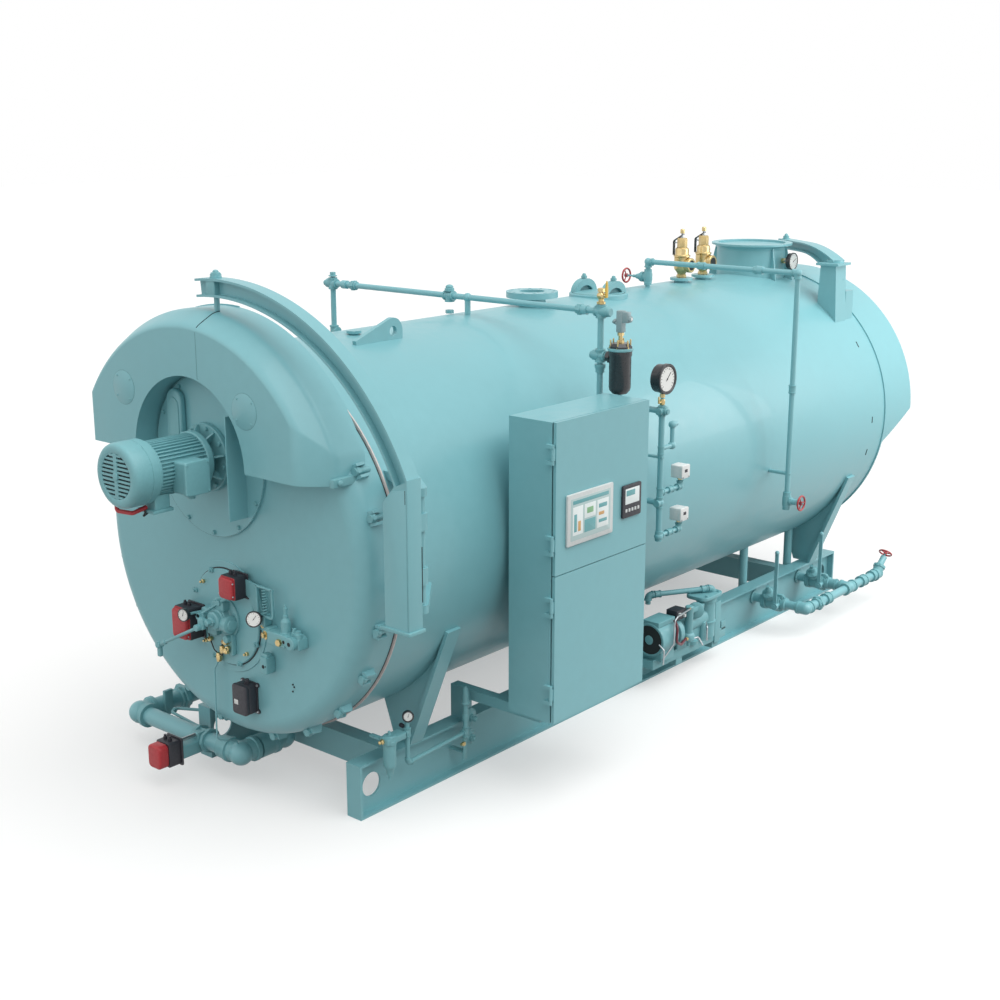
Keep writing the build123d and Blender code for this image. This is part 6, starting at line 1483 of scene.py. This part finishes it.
def rearArm():
    # I-beam along the plan line from the post to the lifting bolt: its top rises on a parabola and its depth tapers off
    a = rearDavit
    start, end = vec(*a["post"]), vec(*a["bolt"])
    run = np.linalg.norm(end - start)
    ahead = (end - start) / run
    side = vec(-ahead[1], ahead[0])
    s = np.linspace(-a["heel"], run + a["tip"], a["steps"])
    top = a["low"] + a["rise"] * (1 - (1 - np.clip((s + a["heel"]) / a["riseRun"], 0, 1)) ** 2)
    depth = a["depth"] + a["taper"] * (1 - np.clip(s / a["taperRun"], 0, 1)) ** 2
    w, p, h = a["wide"] / 2, a["plate"], a["web"] / 2
    across = np.array([-w, w, w, h, h, w, w, -w, -w, -h, -h, -w])
    flush, under = np.zeros(a["steps"]), np.full(a["steps"], p)
    down = np.stack([flush, flush, under, under, depth - p, depth - p, depth, depth, depth - p, depth - p, under,
                     under], -1)
    plan = start + s[:, None] * ahead
    level = plan[:, None] + across[None, :, None] * side
    rings = np.concatenate([level, (top[:, None] - down)[..., None]], -1)
    shapes = [(closedRings(rings), tealEnamel)]
    x, y = a["bolt"]
    crown = a["low"] + a["rise"]
    shapes += [(rodBetween((x, y, a["boltLow"]), (x, y, crown + 20), 13, 18), castEnamel),
               (turned([(28, 0), (28, 5)], (x, y, crown), upward, 20), castEnamel),
               (turned([(23, 4), (23, 22), (14, 24), (14, 30), (8, 38), (1, 40)], (x, y, crown), upward, 20),
                castEnamel)]
    return place("rear_arm_dressed", "boiler", shapes, ("rear_davit_arm",))


blowTrim()
stackTrim()
stackFins()
rearTrim()
rearArm()
print("stack and rear dressed")

# Front tube sheet, seen with the head open: rolled tube ends round the furnace mouth, and stay nuts in the steam space.
tubeSheet = dict(face=-2600.0, axisZ=shell["axisHeight"], edge=850.0, furnaceZ=1040.3, clear=480.0, pitch=96.0,
                 rowShare=0.88, rows=11, top=1800.0, bore=27.0, wall=5.0, bead=8.0,
                 stayPitch=190.0, stayZ=2010.0, stayCount=5, mouth=400.0)


def tubeEnds():
    s = tubeSheet
    # rows of centres, every other row half a pitch aside, kept inside the sheet, off the furnace and below the water
    # line
    row, column = np.meshgrid(np.arange(-s["rows"], s["rows"] + 1), np.arange(-s["rows"], s["rows"] + 1), indexing="ij")
    x = (column + 0.5 * (row % 2)) * s["pitch"]
    z = s["axisZ"] + row * s["pitch"] * s["rowShare"]
    kept = (np.hypot(x, z - s["axisZ"]) < s["edge"]) & (np.hypot(x, z - s["furnaceZ"]) > s["clear"]) & (z < s["top"])
    centres = np.stack([x[kept], np.full(kept.sum(), s["face"]), z[kept]], -1)
    out, inner, outer = toFront, s["bore"], s["bore"] + s["wall"]
    lip = turned([(outer, -2), (outer, s["bead"] - 2), (outer - 2, s["bead"]), (inner + 1, s["bead"]),
                  (inner, s["bead"] - 2), (inner, 1), (0.1, 1)],
                 (0, 0, 0), out, 20)
    hole = turned([(inner - 0.5, 1.2), (inner - 0.5, 1.8)], (0, 0, 0), out, 20)
    stays = [((i - (s["stayCount"] - 1) / 2) * s["stayPitch"], s["face"], s["stayZ"]) for i in range(s["stayCount"])]
    washer = turned([(44, -1), (44, 8), (42, 10), (2, 10)], (0, 0, 0), out, 28)
    nut = hexHead(out, 30, 24)
    weld = turnedRing([(s["mouth"] + 22, -1), (s["mouth"] + 16, 7), (s["mouth"] + 6, 9), (s["mouth"] + 1, 5),
                       (s["mouth"] + 1, -1)],
                      (0, s["face"], s["furnaceZ"]), out, 96)
    return place("tube_ends", "boiler",
                 [(repeated(lip, centres), scaledSteel), (repeated(hole, centres), deepShade),
                                                       (repeated(washer, stays), scaledSteel),
                  (repeated(nut, stays), scaledSteel), (weld, scaledSteel)])


tubeEnds()
print("tube sheet dressed")

# Camera at the photograph's place: metres in the boiler's own frame, angles in degrees.
view = dict(place=(5.7254, -7.5039, 3.5531), turn=40.241, tilt=14.683, lens=53.49, sensor=36.0)
cameraData = bpy.data.cameras.new("photoCamera")
cameraData.lens = view["lens"]
cameraData.sensor_width = view["sensor"]
camera = bpy.data.objects.new("photoCamera", cameraData)
camera.location = (np.array(view["place"]) + drawingShift).tolist()
camera.rotation_euler = (math.radians(90 - view["tilt"]), 0, math.radians(view["turn"]))
bpy.context.scene.collection.objects.link(camera)
bpy.context.scene.camera = camera

# Soft studio light: one wide key from above on the cabinet side, a weak fill, a side lamp, and a white surround.
light = dict(key=2.05, keyFrom=(0.50, 0.02, 0.86), keySpread=60.0, fill=0.75, fillFrom=(-0.25, -0.9, 0.42),
             fillSpread=80.0, side=72.0, sideFrom=(3.6, 3.4, 3.0), sideAt=(0.7, 1.6, 1.8), sideSize=2.4, surround=0.50,
             floorSeen="#C3C3C2", floorGlow=0.44, floorBounce="#8A8C8C", floorSize=60.0)
for lampName, lampPower, lampFrom, lampSpread in (("keyLight", "key", "keyFrom", "keySpread"),
                                                  ("fillLight", "fill", "fillFrom", "fillSpread")):
    lampData = bpy.data.lights.new(lampName, "SUN")
    lampData.energy = light[lampPower]
    lampData.angle = math.radians(light[lampSpread])
    lamp = bpy.data.objects.new(lampName, lampData)
    towards = unit(light[lampFrom])
    lamp.rotation_euler = (math.acos(towards[2]), 0, math.atan2(towards[0], -towards[1]))
    bpy.context.scene.collection.objects.link(lamp)
# A square lamp off the rear of the cabinet side brightens the shell towards the stack.
lampData = bpy.data.lights.new("sideLight", "AREA")
lampData.energy = light["side"]
lampData.size = light["sideSize"]
lamp = bpy.data.objects.new("sideLight", lampData)
lamp.location = (np.array(light["sideFrom"]) + drawingShift).tolist()
towards = unit(np.array(light["sideFrom"]) - np.array(light["sideAt"]))
lamp.rotation_euler = (math.acos(towards[2]), 0, math.atan2(towards[0], -towards[1]))
bpy.context.scene.collection.objects.link(lamp)


def seenDirectly(tree):
    # 1 for rays that the viewer sees, straight, mirrored or through glass; 0 for light that bounces on
    path = addNode(tree, "ShaderNodeLightPath")
    most = addNode(tree, "ShaderNodeMath", {0: path.outputs["Is Camera Ray"], 1: path.outputs["Is Glossy Ray"]},
                   operation="MAXIMUM")
    return addNode(tree, "ShaderNodeMath", {0: most.outputs[0], 1: path.outputs["Is Transmission Ray"]},
                   operation="MAXIMUM").outputs[0]


world = bpy.data.worlds.new("whiteSurround")
bpy.context.scene.world = world
world.use_nodes = True
tree = world.node_tree
level = addNode(tree, "ShaderNodeMapRange", {"Value": seenDirectly(tree), "To Min": light["surround"], "To Max": 1.0})
tree.nodes["Background"].inputs["Color"].default_value = (1, 1, 1, 1)
tree.links.new(level.outputs[0], tree.nodes["Background"].inputs["Strength"])

# Pale floor: a matt white to the eye that still takes the boiler's shadow, and a greyer bounce under it.
floorFinish = bpy.data.materials.new("mattPaintedFloor")
floorFinish.use_nodes = True
tree = floorFinish.node_tree
tone = addNode(tree, "ShaderNodeMix", {"Factor": seenDirectly(tree), 6: linear(light["floorBounce"]),
                                       7: linear(light["floorSeen"])}, data_type="RGBA")
tree.links.new(tone.outputs[2], tree.nodes["Principled BSDF"].inputs["Base Color"])
tree.nodes["Principled BSDF"].inputs["Roughness"].default_value = 0.9
tree.nodes["Principled BSDF"].inputs["Specular IOR Level"].default_value = 0.0
tree.nodes["Principled BSDF"].inputs["Emission Color"].default_value = (1, 1, 1, 1)
lift = addNode(tree, "ShaderNodeMath", {0: seenDirectly(tree), 1: light["floorGlow"]}, operation="MULTIPLY")
tree.links.new(lift.outputs[0], tree.nodes["Principled BSDF"].inputs["Emission Strength"])
reach = light["floorSize"]
floorMesh = bpy.data.meshes.new("floor")
floorMesh.from_pydata([(-reach, -reach, 0), (reach, -reach, 0), (reach, reach, 0), (-reach, reach, 0)], [],
                      [(0, 1, 2, 3)])
floorMesh.materials.append(floorFinish)
floor = bpy.data.objects.new("floor", floorMesh)
bpy.context.scene.collection.objects.link(floor)
bpy.context.scene.view_settings.view_transform = "Standard"
print("camera, light and floor set")
